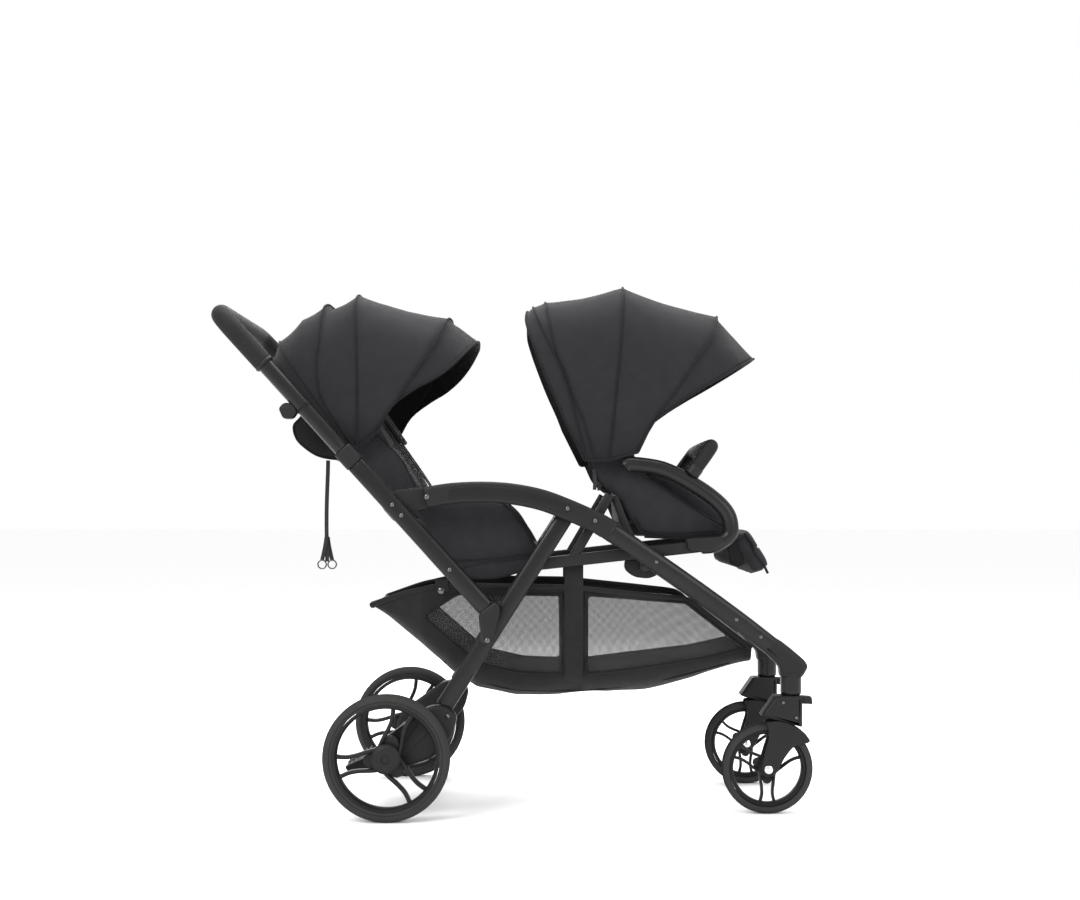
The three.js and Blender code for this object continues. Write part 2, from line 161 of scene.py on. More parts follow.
def vary_colour(tree, shader, source, low, high):
    made = node(tree, "ShaderNodeMix", data_type="RGBA")
    made.inputs[6].default_value = (*low, 1)
    made.inputs[7].default_value = (*high, 1)
    tree.links.new(source, made.inputs["Factor"])
    tree.links.new(made.outputs[2], shader.inputs["Base Color"])


def bump(tree, shader, height, strength, distance, under=None):
    made = node(tree, "ShaderNodeBump", Strength=strength, Distance=distance)
    tree.links.new(height, made.inputs["Height"])
    if under:
        tree.links.new(under.outputs["Normal"], made.inputs["Normal"])
    tree.links.new(made.outputs["Normal"], shader.inputs["Normal"])
    return made


def wave(tree, direction, scale):
    made = node(tree, "ShaderNodeTexWave", bands_direction=direction, Scale=scale)
    tree.links.new(coordinates(tree), made.inputs["Vector"])
    return made.outputs["Fac"]


def maths(tree, operation, *values):
    made = node(tree, "ShaderNodeMath", operation=operation)
    for socket, value in zip(made.inputs, values):
        if isinstance(value, float):
            socket.default_value = value
        else:
            tree.links.new(value, socket)
    return made.outputs["Value"]


def tube_paint():
    def build(tree, shader):
        grain = noise_of(tree, 260)
        tree.links.new(ramp(tree, noise_of(tree, 9), 0.24, 0.40), shader.inputs["Roughness"])
        vary_colour(tree, shader, noise_of(tree, 30), (0.006, 0.006, 0.0065), (0.010, 0.010, 0.0105))
        bump(tree, shader, grain, 0.12, 0.0004)

    return material("satin_black_tube", (0.016, 0.016, 0.017), 0.32, build, Metallic=0.1,
                    Coat_Weight=0.06, Coat_Roughness=0.2, Specular_IOR_Level=0.2)


def moulded_plastic():
    def build(tree, shader):
        spark = noise_of(tree, 900, 1.0)
        tree.links.new(ramp(tree, noise_of(tree, 25), 0.42, 0.58), shader.inputs["Roughness"])
        vary_colour(tree, shader, noise_of(tree, 14), (0.006, 0.006, 0.0065), (0.010, 0.010, 0.0105))
        bump(tree, shader, spark, 0.35, 0.0004)

    return material("moulded_plastic", (0.012, 0.012, 0.013), 0.5, build, Specular_IOR_Level=0.2)


def woven(name, low, high, sheen):
    """Plain-weave cloth: threads both ways, a mottled dye and shallow creases."""

    def build(tree, shader):
        threads = maths(tree, "MAXIMUM", wave(tree, "X", 420), wave(tree, "Z", 420))
        threads = maths(tree, "MULTIPLY", threads, wave(tree, "Y", 420))
        dye = maths(tree, "MULTIPLY", noise_of(tree, 700, 1.0), noise_of(tree, 40))
        vary_colour(tree, shader, ramp(tree, dye, 0.1, 1.6), low, high)
        creases = bump(tree, shader, noise_of(tree, 11, 2.0), 0.32, 0.012)
        bump(tree, shader, threads, 0.3, 0.0006, creases)

    return material(name, high, 0.86, build, Sheen_Weight=sheen, Sheen_Roughness=0.45,
                    Specular_IOR_Level=0.2)


def seat_cloth():
    return woven("seat_cloth", (0.009, 0.009, 0.011), (0.019, 0.019, 0.022), 0.10)


def hood_cloth():
    return woven("hood_cloth", (0.008, 0.0075, 0.009), (0.016, 0.015, 0.017), 0.06)


def lining():
    return woven("black_lining", (0.003, 0.003, 0.003), (0.008, 0.008, 0.008), 0.04)


def piping_cloth():
    return woven("piping_cloth", (0.003, 0.003, 0.004), (0.008, 0.008, 0.009), 0.05)


def basket_cloth():
    return woven("basket_cloth", (0.005, 0.005, 0.006), (0.013, 0.013, 0.014), 0.08)


def open_mesh():
    """Knitted mesh: round holes in a grid, seen through."""

    def build(tree, shader):
        split = node(tree, "ShaderNodeSeparateXYZ")
        tree.links.new(coordinates(tree), split.inputs["Vector"])
        holes = None
        for way in ("ADD", "SUBTRACT"):
            diagonal = maths(tree, way, split.outputs["X"], split.outputs["Z"])
            diagonal = maths(tree, "ADD", diagonal, maths(tree, "MULTIPLY", noise_of(tree, 24), 0.0012))
            rows = maths(tree, "SINE", maths(tree, "MULTIPLY", diagonal, math.pi / MESH_PITCH))
            rows = maths(tree, "ABSOLUTE", rows)
            holes = rows if holes is None else maths(tree, "MULTIPLY", holes, rows)
        yarn = maths(tree, "LESS_THAN", holes, 0.34)
        tree.links.new(ramp(tree, yarn, 0.36, 0.78), shader.inputs["Alpha"])

    return material("open_mesh", (0.018, 0.018, 0.019), 0.8, build)


def tyre_rubber():
    def build(tree, shader):
        vary_colour(tree, shader, noise_of(tree, 18), (0.016, 0.016, 0.016), (0.027, 0.027, 0.026))
        tree.links.new(ramp(tree, noise_of(tree, 60), 0.68, 0.9), shader.inputs["Roughness"])
        bump(tree, shader, noise_of(tree, 420), 0.25, 0.0008)

    return material("tyre_rubber", (0.014, 0.014, 0.014), 0.8, build, Specular_IOR_Level=0.25)


def foam():
    def build(tree, shader):
        cells = node(tree, "ShaderNodeTexVoronoi", Scale=520.0)
        tree.links.new(coordinates(tree), cells.inputs["Vector"])
        vary_colour(tree, shader, noise_of(tree, 35), (0.006, 0.006, 0.006), (0.010, 0.010, 0.011))
        bump(tree, shader, cells.outputs["Distance"], 0.3, 0.0008)

    return material("grip_foam", (0.008, 0.008, 0.008), 0.72, build, Specular_IOR_Level=0.2)


def steel():
    def build(tree, shader):
        tree.links.new(ramp(tree, noise_of(tree, 120), 0.14, 0.30), shader.inputs["Roughness"])
        bump(tree, shader, noise_of(tree, 500), 0.05, 0.0003)

    return material("bright_steel", (0.72, 0.72, 0.74), 0.2, build, Metallic=1.0)


def dark_steel():
    def build(tree, shader):
        tree.links.new(ramp(tree, noise_of(tree, 200), 0.18, 0.34), shader.inputs["Roughness"])
        bump(tree, shader, noise_of(tree, 500), 0.05, 0.0003)

    return material("dark_steel", (0.10, 0.10, 0.105), 0.25, build, Metallic=1.0)


def webbing():
    def build(tree, shader):
        ribs = maths(tree, "MULTIPLY", wave(tree, "Z", 260), wave(tree, "Y", 160))
        vary_colour(tree, shader, noise_of(tree, 300), (0.006, 0.006, 0.007), (0.014, 0.014, 0.015))
        bump(tree, shader, ribs, 0.5, 0.0012)

    return material("ribbed_webbing", (0.010, 0.010, 0.011), 0.8, build, Sheen_Weight=0.06)


# ---- mesh helpers ------------------------------------------------------------------------------------


def mesh_object(name, points, faces, *coats):
    made = bpy.data.meshes.new(name)
    made.from_pydata([tuple(p) for p in points], [], faces)
    shape = bmesh.new()
    shape.from_mesh(made)
    bmesh.ops.remove_doubles(shape, verts=shape.verts, dist=1e-6)
    bmesh.ops.recalc_face_normals(shape, faces=shape.faces)
    shape.to_mesh(made)
    shape.free()
    made.shade_smooth()
    thing = bpy.data.objects.new(name, made)
    bpy.context.scene.collection.objects.link(thing)
    for coat in coats:
        made.materials.append(coat)
    return thing


def join(name, *things):
    """One object from several, each material kept."""
    bpy.ops.object.select_all(action="DESELECT")
    for thing in things:
        thing.select_set(True)
    bpy.context.view_layer.objects.active = things[0]
    bpy.ops.object.join()
    things[0].name = name
    return things[0]


def apply_modifiers(thing):
    view = bpy.context.evaluated_depsgraph_get()
    made = bpy.data.meshes.new_from_object(thing.evaluated_get(view))
    thing.modifiers.clear()
    thing.data = made
    return thing


def place(thing, body, slot, *nodes):
    """Rides a finished piece on its body and hides the CAD nodes it stands for; slot is not used."""
    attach(thing, body)
    if nodes:
        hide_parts(*nodes)
    return thing


def bevelled(thing, width, segments=3, angle=35):
    modifier = thing.modifiers.new("edges", "BEVEL")
    modifier.width = width
    modifier.segments = segments
    modifier.angle_limit = math.radians(angle)
    return apply_modifiers(thing)


def spline(points, per_span=8, closed=False):
    """A smooth line through points, of any dimension."""
    count = len(points)
    spans = count if closed else count - 1
    line = []
    for i in range(spans):
        if closed:
            a, b, c, d = (points[(i + k) % count] for k in (-1, 0, 1, 2))
        else:
            a, b = points[max(i - 1, 0)], points[i]
            c, d = points[i + 1], points[min(i + 2, count - 1)]
        for k in range(per_span):
            t = k / per_span
            line.append(Vector(
                0.5 * (2 * q + (r - p) * t + (2 * p - 5 * q + 4 * r - s) * t**2
                       + (3 * q - p - 3 * r + s) * t**3)
                for p, q, r, s in zip(a, b, c, d)
            ))
    if not closed:
        line.append(Vector(points[-1]))
    return line


def rounded(points, radius, steps=5):
    """A closed outline with its corners rounded."""
    corners = [Vector(p) for p in points]
    outline = []
    for i, corner in enumerate(corners):
        before, after = corners[i - 1] - corner, corners[(i + 1) % len(corners)] - corner
        reach = min(radius, 0.45 * before.length, 0.45 * after.length)
        start = corner + before.normalized() * reach
        end = corner + after.normalized() * reach
        for k in range(steps + 1):
            t = k / steps
            outline.append(start * (1 - t) ** 2 + corner * 2 * t * (1 - t) + end * t**2)
    return outline


def plate(name, outlines, near, far, coat, edge=0.0015):
    """A plate with rounded edges: side-view outlines, the first its rim and the rest holes."""
    shape = bpy.data.curves.new(name, "CURVE")
    shape.dimensions = "2D"
    shape.fill_mode = "BOTH"
    half = abs(far - near) / 2
    edge = min(edge, half * 0.9)
    shape.extrude = half - edge
    shape.bevel_depth = edge
    shape.bevel_resolution = 3
    shape.offset = -edge
    for outline in outlines:
        line = shape.splines.new("POLY")
        line.points.add(len(outline) - 1)
        for point, (x, z) in zip(line.points, outline):
            point.co = (x, z, 0, 1)
        line.use_cyclic_u = True
    flat = bpy.data.objects.new(name, shape)
    bpy.context.scene.collection.objects.link(flat)
    view = bpy.context.evaluated_depsgraph_get()
    view.update()
    made = bpy.data.meshes.new_from_object(flat.evaluated_get(view))
    centre = (near + far) / 2
    points = [at(v.co.x, v.co.y, centre + v.co.z) for v in made.vertices]
    faces = [tuple(f.vertices) for f in made.polygons]
    bpy.data.objects.remove(flat)
    thing = mesh_object(name, points, faces, coat)
    thing.data.set_sharp_from_angle(angle=math.radians(40))
    return thing


def ring_of(centre, right, up, section):
    return [centre + right * a + up * b for a, b in section]


def oval(width, depth, sides=32, squareness=0.75):
    def bulge(v):
        return math.copysign(abs(v) ** squareness, v)

    return [(bulge(math.cos(2 * math.pi * i / sides)) * width / 2,
             bulge(math.sin(2 * math.pi * i / sides)) * depth / 2) for i in range(sides)]


def sweep(name, line, section, coat, up=None, caps=True, closed=False):
    """A section along a line of points. up keeps one way across the section; without it the section
    is carried along without twist."""
    count = len(line)
    rings = []
    across = Vector(up) if up else None
    for i, point in enumerate(line):
        if closed:
            run = (line[(i + 1) % count] - line[i - 1]).normalized()
        else:
            run = (line[min(i + 1, count - 1)] - line[max(i - 1, 0)]).normalized()
        if across is None:
            across = run.orthogonal().normalized()
        side = (Vector(up) if up else across)
        side = (side - run * side.dot(run)).normalized()
        across = side
        rings.append((point, side.cross(run), side, run))
    sides = len(section)
    points, faces = [], []

    def add_ring(point, right, over, scale=1.0):
        points.extend(ring_of(point, right * scale, over * scale, section))

    edge = min(max(abs(a) for a, _ in section), max(abs(b) for _, b in section)) * 0.25
    if caps and not closed:
        point, right, over, run = rings[0]
        add_ring(point, right, over, 0.86)
        add_ring(point + run * edge * 0.3, right, over, 0.96)
        rings[0] = (point + run * edge, right, over, run)
        point, right, over, run = rings[-1]
        rings[-1] = (point - run * edge, right, over, run)
    for point, right, over, _ in rings:
        add_ring(point, right, over)
    if caps and not closed:
        point, right, over, run = rings[-1]
        add_ring(point + run * edge * 0.7, right, over, 0.96)
        add_ring(point + run * edge, right, over, 0.86)
    total = len(points) // sides
    for i in range(total if closed else total - 1):
        j = (i + 1) % total
        for k in range(sides):
            m = (k + 1) % sides
            faces.append((i * sides + k, i * sides + m, j * sides + m, j * sides + k))
    if not closed:
        faces.append(tuple(range(sides)))
        faces.append(tuple(range((total - 1) * sides, total * sides)))
    thing = mesh_object(name, points, faces, coat)
    thing.data.set_sharp_from_angle(angle=math.radians(60))
    return thing


def oval_bar(name, a, b, coat, width=TUBE_WIDTH, depth=TUBE_DEPTH):
    """A straight oval tube between two points."""
    line = [a + (b - a) * (i / 6) for i in range(7)]
    return sweep(name, line, oval(width, depth), coat, up=(0, 1, 0))


def round_tube(name, points, radius, coat, per_span=8, sides=20, closed=False):
    return sweep(name, spline(points, per_span, closed), oval(2 * radius, 2 * radius, sides, 1.0), coat,
                 closed=closed)


def turned(name, centre, profile, coat, sides=64, flip=1):
    """A shape turned about the line across the pushchair through centre."""
    points, faces = [], []
    count = len(profile)
    for i in range(sides):
        turn = 2 * math.pi * i / sides
        for radius, offset in profile:
            spot = Vector((radius * math.cos(turn), offset * flip, radius * math.sin(turn)))
            points.append(centre + spot)
    for i in range(sides):
        j = (i + 1) % sides
        for k in range(count - 1):
            faces.append((i * count + k, i * count + k + 1, j * count + k + 1, j * count + k))
    thing = mesh_object(name, points, faces, coat)
    thing.data.set_sharp_from_angle(angle=math.radians(45))
    return thing


def crumple(thing, size, height):
    """Shallow creases: each point moves along its normal by a smooth noise."""
    for vertex in thing.data.vertices:
        vertex.co += vertex.normal * noise.noise(vertex.co / size) * height
    return thing


# ---- camera, light, floor ----------------------------------------------------------------------------


def camera():
    """One-point view along +Y, level with the middle of the frame."""
    lens = bpy.data.cameras.new("camera")
    lens.sensor_width = 36
    lens.lens = 53.33
    lens.shift_x = -0.0083
    lens.shift_y = 0.0537
    viewer = bpy.data.objects.new("camera", lens)
    viewer.location = at(0.305, 0.589, -3.26)
    viewer.rotation_euler = (math.radians(90), 0, 0)
    bpy.context.scene.collection.objects.link(viewer)
    bpy.context.scene.camera = viewer


def softbox(name, place_at, look_at, width, height, power):
    lamp = bpy.data.lights.new(name, "AREA")
    lamp.shape = "RECTANGLE"
    lamp.size = width
    lamp.size_y = height
    lamp.energy = power
    holder = bpy.data.objects.new(name, lamp)
    holder.location = place_at
    holder.rotation_euler = (look_at - place_at).to_track_quat("-Z", "Y").to_euler()
    bpy.context.scene.collection.objects.link(holder)


def studio():
    target = at(0.25, 0.55)
    softbox("key", at(-1.6, 2.6, -2.6), target, 1.6, 1.6, 85)
    softbox("fill", at(2.6, 1.6, -2.4), target, 1.8, 1.4, 35)
    softbox("top", at(0.3, 3.2, 0.4), target, 2.4, 1.8, 110)
    softbox("rear", at(-0.4, 2.0, 3.0), target, 2.4, 1.6, 60)
    world = bpy.data.worlds.new("studio")
    world.use_nodes = True
    background = world.node_tree.nodes["Background"]
    background.inputs["Color"].default_value = (1, 1, 1, 1)
    background.inputs["Strength"].default_value = 1.0
    bpy.context.scene.world = world
    bpy.context.scene.view_settings.view_transform = "Standard"
    white = material("pale_floor", (0.97, 0.97, 0.97), 0.9)
    reach = 40
    square = ((-1, -1), (1, -1), (1, 1), (-1, 1))
    corners = [Vector((reach * x, reach * y, 0)) for x, y in square]
    floor = mesh_object("floor", corners, [(0, 1, 2, 3)], white)


# ---- recline strap -----------------------------------------------------------------------------------


def recline_strap():
    route = [(-0.145, 0.686), (-0.1455, 0.66), (-0.147, 0.62), (-0.148, 0.58), (-0.148, 0.54),
             (-0.147, 0.5), (-0.147, 0.48)]
    line = spline([at(x, z) for x, z in route], 6)
    width, thick = 0.008, 0.0018
    section = [(thick / 2 * a, width / 2 * b) for a, b in ((-1, -1), (1, -1), (1, 1), (-1, 1))]
    strap = sweep("recline_webbing", line, section, webbing(), up=(1, 0, 0))
    place(strap, "rear_recliner", "webbing", "recline_strap")
    rings, tails = [], []
    for i, way in enumerate((-1, 1)):
        centre = line[-1] + Vector((0.0100 * way, 0, -0.0060))
        loop = [centre + Vector((0.0085 * math.cos(t), 0.002 * way, 0.0085 * math.sin(t)))
                for t in (2 * math.pi * k / 20 for k in range(20))]
        rings.append(round_tube(f"d_ring_{i}", loop, 0.0015, dark_steel(), 2, 10, closed=True))
        fork = [line[-1] + Vector((0.001 * way, 0.002 * way, 0.050)),
                line[-1] + Vector((0.004 * way, 0.002 * way, 0.030)),
                centre + Vector((0, 0.002 * way, 0.0085))]
        tails.append(sweep(f"strap_tail_{i}", spline(fork, 6), section, webbing(), up=(1, 0, 0)))
    both = join("strap_d_rings", *rings)
    place(both, "rear_recliner", "bright_steel", "strap_ring")
    ends = join("strap_tails", *tails)
    place(ends, "rear_recliner", "webbing")


# ---- wheels ------------------------------------------------------------------------------------------


def polar(outline, angle):
    return [(r * math.cos(t + angle), r * math.sin(t + angle)) for r, t in outline]


def wheel(prefix, tag, side, centre, radius, rim_radius, tread, first_spoke):
    """Tyre with a ribbed tread, dished rim with three split spokes."""
    y = side * centre.y
    hub = Vector((centre.x, y, centre.z))
    half = tread / 2
    profile = [(rim_radius + 0.0006, -half + 0.004), (radius - 0.0142, -half + 0.0012),
               (radius - 0.0134, -half + 0.0022), (radius - 0.0124, -half + 0.0006), (radius - 0.009, -half),
               (radius - 0.004, -half + 0.003), (radius - 0.0012, -half + 0.008)]
    for groove in (-0.34, 0, 0.34):
        middle_y = groove * half
        profile += [(radius - 0.0004, middle_y - 0.0028), (radius - 0.0022, middle_y - 0.001),
                    (radius - 0.0022, middle_y + 0.001), (radius - 0.0004, middle_y + 0.0028)]
    profile += [(radius - 0.0012, half - 0.008), (radius - 0.004, half - 0.003), (radius - 0.009, half),
                (radius - 0.0124, half - 0.0006), (radius - 0.0134, half - 0.0022),
                (radius - 0.0142, half - 0.0012), (rim_radius + 0.0006, half - 0.004),
                (rim_radius + 0.0006, -half + 0.004)]
    tyre = turned(f"{prefix}_tyre_{tag}_rubber", hub, profile, tyre_rubber(), 96)
    place(tyre, f"{prefix}_wheel_{tag}", "tyre_rubber", f"{prefix}_tyre_{tag}")

    lip = half - 0.004
    inner = rim_radius - 0.007
    barrel = turned(f"{prefix}_rim_{tag}_barrel", hub, [
        (rim_radius, -lip), (rim_radius - 0.001, lip), (inner + 0.003, lip + 0.0008), (inner, lip - 0.002),
        (inner - 0.001, 0), (inner, -lip + 0.002), (inner + 0.003, -lip - 0.0008), (rim_radius, -lip)],
        moulded_plastic(), 96)
    hub_radius = 0.30 * rim_radius
    ribs = []
    for k in range(3):
        spoke = first_spoke + 2 * math.pi * k / 3
        web = polar([(0.8 * hub_radius, -0.85), (0.38 * inner, -0.42), (0.45 * inner, -0.20),
                     (0.47 * inner, 0), (0.45 * inner, 0.20), (0.38 * inner, 0.42),
                     (0.8 * hub_radius, 0.85)], spoke)
        shape = [(x + centre.x - AXLE.x, z + centre.z) for x, z in web]
        ribs.append(plate(f"{prefix}_web_{tag}_{k}", [shape], y - 0.003, y + 0.003, moulded_plastic(),
                          0.0015))
        for way in (-1, 1):
            curve = polar([(0.75 * hub_radius, 1.05 * way), (0.40 * inner, 0.50 * way),
                           (0.60 * inner, 0.27 * way), (0.80 * inner, 0.20 * way),
                           (inner + 0.002, 0.21 * way)], spoke)
            path = spline([hub + Vector((x, 0, z)) for x, z in curve], 6)
            section = oval(0.088 * inner, 0.55 * tread, 16, 0.7)
            ribs.append(sweep(f"{prefix}_rib_{tag}_{k}_{way}", path, section, moulded_plastic(),
                              up=(0, 1, 0)))
    collar = turned(f"{prefix}_rim_{tag}_collar", hub, [
        (0.0, -half + 0.001), (hub_radius * 0.72, -half + 0.001), (hub_radius * 0.9, -half + 0.006),
        (hub_radius * 0.95, 0.0), (hub_radius * 0.9, half - 0.006), (hub_radius * 0.72, half - 0.002),
        (0.0, half - 0.002)], moulded_plastic(), 48)
    rim = join(f"{prefix}_rim_{tag}_moulded", barrel, collar, *ribs)
    place(rim, f"{prefix}_wheel_{tag}", "black_plastic", f"{prefix}_rim_{tag}")


def wheels():
    for tag, side in SIDES:
        wheel("rear", tag, side, AXLE, REAR_RADIUS, 0.1005, 0.035, math.radians(70))
        face = REAR_Y + 0.0128
        cap = turned(f"rear_cap_{tag}", Vector((AXLE.x, side * face, AXLE.z)), [
            (0, -0.002), (0.027, -0.002), (0.0285, 0.002), (0.0265, 0.0058), (0.020, 0.0082), (0.012, 0.0088),
            (0.0085, 0.0086), (0.0078, 0.0066), (0.0, 0.0064)], moulded_plastic(), 56, side)
        place(cap, f"rear_wheel_{tag}", "black_plastic", f"rear_hub_cap_{tag}")
        wheel("front", tag, side, FRONT_AXLE, FRONT_RADIUS, 0.073, 0.030, math.radians(30))
        for n, outward in enumerate((1, -1)):
            ends = Vector((FRONT_AXLE.x, side * FRONT_Y + outward * 0.0246, FRONT_AXLE.z))
            nut = turned(f"front_axle_cap_{tag}_{n}", ends, [
                (0, 0), (0.0078, 0), (0.0078, 0.0022), (0.0062, 0.0032), (0.0, 0.0036)], steel(), 32, outward)
            if n == 0:
                place(nut, f"caster_{tag}", "bright_steel", f"front_axle_{tag}")
            else:
                place(nut, f"caster_{tag}", "bright_steel")


# ---- rear frame --------------------------------------------------------------------------------------


def rivet(name, x, z, y, body, radius=0.0046):
    """A domed rivet head standing out of a side face."""
    out = 1 if y > 0 else -1
    head = turned(name, at(x, z, y), [
        (0, -0.001), (radius, -0.001), (radius, 0.0008), (radius * 0.82, 0.0022), (radius * 0.4, 0.0031),
        (0, 0.0033)], dark_steel(), 24, out)
    return place(head, body, "bright_steel")


def rear_frame():
    for tag, side in SIDES:
        y = side * LEG_Y
        leg = oval_bar(f"rear_leg_{tag}_tube", at(*LEG_FOOT, y), at(*mix(LEG_FOOT, FOLD_PIVOT, 0.985), y),
                       tube_paint())
        place(leg, "rear_frame", "tube_paint", f"rear_leg_{tag}")
        outline = rounded([(-0.025, 0.122), (-0.020, 0.098), (0.016, 0.094), (0.085, 0.116), (0.122, 0.156),
                           (0.132, 0.196), (0.112, 0.214), (0.080, 0.216), (-0.012, 0.150)], 0.014)
        shell = plate(f"axle_housing_{tag}_shell", [outline],
                      side * (LEG_Y - 0.013), side * (LEG_Y + 0.0222),
                      moulded_plastic(), 0.006)
        place(shell, "rear_frame", "black_plastic", f"axle_housing_{tag}")
        inset = rounded([(0.012, 0.122), (0.030, 0.118), (0.088, 0.176), (0.084, 0.196), (0.070, 0.198)],
                        0.010)
        panel = plate(f"axle_housing_{tag}_panel", [inset],
                      side * (LEG_Y + 0.0215), side * (LEG_Y + 0.0238),
                      moulded_plastic(), 0.0012)
        place(panel, "rear_frame", "black_plastic")
        rivet(f"leg_rivet_{tag}", 0.114, 0.196, side * (LEG_Y + 0.0222), "rear_frame")
    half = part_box("rear_axle_beam")[1][1]
    beam = round_tube("rear_axle_tube", [at(0, REAR_RADIUS, -half), at(0, REAR_RADIUS, 0),
                                         at(0, REAR_RADIUS, half)], 0.012, tube_paint(), 4, 32)
    place(beam, "rear_frame", "tube_paint", "rear_axle_beam")
    low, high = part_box("brake_pedal")
    outline = rounded([(-0.087, 0.094), (-0.080, 0.083), (-0.040, 0.088), (-0.014, 0.106), (-0.014, 0.128),
                       (-0.044, 0.113)], 0.007)
    pedal = plate("brake_pedal_pad", [outline], low[1], high[1], moulded_plastic(), 0.004)
    place(pedal, "brake", "black_plastic", "brake_pedal")
    for n in range(5):
        x = -0.080 + 0.009 * n
        rib = round_tube(f"pedal_rib_{n}", [at(x, 0.1005 + 0.0045 * n, low[1] + 0.012),
                                            at(x, 0.1005 + 0.0045 * n, high[1] - 0.012)], 0.0016,
                         moulded_plastic(), 2, 8)
        place(rib, "brake", "black_plastic")


# ---- front frame -------------------------------------------------------------------------------------


def band(line, height, per_span=8):
    """The outline of a band of even height along a side-view line."""
    middle_line = spline(line, per_span)
    count = len(middle_line)
    upper, lower = [], []
    for i, point in enumerate(middle_line):
        run = (middle_line[min(i + 1, count - 1)] - middle_line[max(i - 1, 0)]).normalized()
        normal = Vector((-run.y, run.x)) * height / 2
        upper.append(point + normal)
        lower.append(point - normal)
    return lower + upper[::-1]


def front_frame():
    arch = [(0.070, 0.608), (0.118, 0.616), (0.174, 0.619), (0.231, 0.616), (0.288, 0.605), (0.340, 0.586),
            (0.398, 0.560), (0.428, 0.542)]
    rail = [(0.271, 0.480), (0.441, 0.499), (0.605, 0.517)]
    for tag, side in SIDES:
        y = side * OUTER_Y
        shell = plate(f"arch_rail_{tag}_shell", [band(arch, 0.040)], y - 0.009, y + 0.009, moulded_plastic(),
                      0.007)
        place(shell, "front_frame", "black_plastic", f"arch_rail_{tag}")
        inset = plate(f"arch_rail_{tag}_inset", [band(arch[1:-2], 0.020)], side * (OUTER_Y + 0.0086),
                      side * (OUTER_Y + 0.0102), tube_paint(), 0.0006)
        place(inset, "front_frame", "tube_paint")
        leg_line = [(FRONT_LEG_TOP, OUTER_Y), ((0.500, 0.492), 0.226), ((0.585, 0.433), 0.209),
                    ((0.668, 0.373), 0.193), ((0.724, 0.330), 0.182), ((0.758, 0.304), FRONT_Y + 0.004)]
        leg = sweep(f"front_leg_{tag}_tube", spline([at(*p, side * across) for p, across in leg_line], 6),
                    oval(0.036, 0.022), tube_paint(), up=(0, 1, 0))
        place(leg, "front_frame", "tube_paint", f"front_leg_{tag}")
        outline = rounded([(0.706, 0.325), (0.728, 0.343), (0.748, 0.336), (0.770, 0.319), (0.797, 0.296),
                           (0.804, 0.284), (0.796, 0.269), (0.790, 0.262), (0.750, 0.262),
                           (0.748, 0.284)], 0.008)
        knee = plate(f"knee_{tag}_casting", [outline], side * (FRONT_Y - 0.0215), side * (FRONT_Y + 0.0215),
                     moulded_plastic(), 0.010)
        place(knee, "front_frame", "black_plastic", f"knee_{tag}")
        post = sweep(f"knee_{tag}_post", [at(SWIVEL_X - 0.003, 0.2290 + k * 0.0105, side * FRONT_Y)
                                          for k in range(6)],
                     oval(0.0405, 0.0405, 32, 1.0), tube_paint(), up=(0, 1, 0))
        place(post, "front_frame", "tube_paint")
        strip = plate(f"seat_rail_{tag}_strip", [band(rail, 0.023)], side * (RAIL_Y - 0.008),
                      side * (RAIL_Y + 0.008), moulded_plastic(), 0.004)
        place(strip, "front_frame", "black_plastic", f"seat_rail_{tag}")
        support = oval_bar(f"seat_support_{tag}_bar", at(0.350, 0.492, side * RAIL_Y),
                           at(*FRONT_HOOD_PIVOT, side * RAIL_Y), moulded_plastic(), 0.019, 0.014)
        place(support, "front_frame", "tube_paint", f"seat_support_{tag}")
        link = oval_bar(f"seat_link_{tag}", at(0.430, 0.612, side * (RAIL_Y - 0.012)),
                        at(0.470, 0.512, side * (RAIL_Y - 0.012)), moulded_plastic(), 0.015, 0.010)
        place(link, "front_frame", "black_plastic")
        arm_line = [(0.450, 0.667), (0.4647, 0.6722), (0.5201, 0.6640), (0.5664, 0.6425), (0.6146, 0.6114),
                    (0.6443, 0.5812), (0.6529, 0.5519), (0.6467, 0.5330), (0.6200, 0.5186), (0.596, 0.516)]
        arm = round_tube(f"front_arm_{tag}_tube", [at(px, pz, side * ARM_Y) for px, pz in arm_line], 0.0150,
                         tube_paint(), 7, 28)
        place(arm, "front_frame", "tube_paint", f"front_arm_{tag}")
        casting = rounded([(0.566, 0.531), (0.570, 0.508), (0.606, 0.503), (0.624, 0.512), (0.640, 0.522),
                           (0.632, 0.535), (0.600, 0.533)], 0.006)
        clamp = plate(f"arm_clamp_{tag}", [casting],
                      side * (ARM_Y - 0.012), side * (ARM_Y + 0.016), moulded_plastic(), 0.004)
        place(clamp, "front_frame", "black_plastic")
        for n, (px, pz) in enumerate([(0.340, 0.588), (0.392, 0.565)]):
            rivet(f"arch_rivet_{tag}_{n}", px, pz, side * (OUTER_Y + 0.0098), "front_frame")
        rivet(f"arch_end_rivet_{tag}", 0.075, 0.610, side * (OUTER_Y + 0.0088), "front_frame", 0.0055)
        for n, share in enumerate((0.26, 0.72, 0.86)):
            px = 0.420 + 0.338 * share
            pz = 0.550 - 0.242 * share
            depth = OUTER_Y + (FRONT_Y + 0.004 - OUTER_Y) * share + 0.0104
            rivet(f"leg_bolt_{tag}_{n}", px, pz, side * depth, "front_frame", 0.0042)
    for name in ("seat_cross_tube", "front_cross_tube"):
        low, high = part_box(name)
        centre = middle(name)
        tube = round_tube(f"{name}_round", [Vector((centre.x, low[1], centre.z)), centre,
                                            Vector((centre.x, high[1], centre.z))],
                          (high[2] - low[2]) / 2, tube_paint(), 4, 32)
        place(tube, "front_frame", "tube_paint", name)


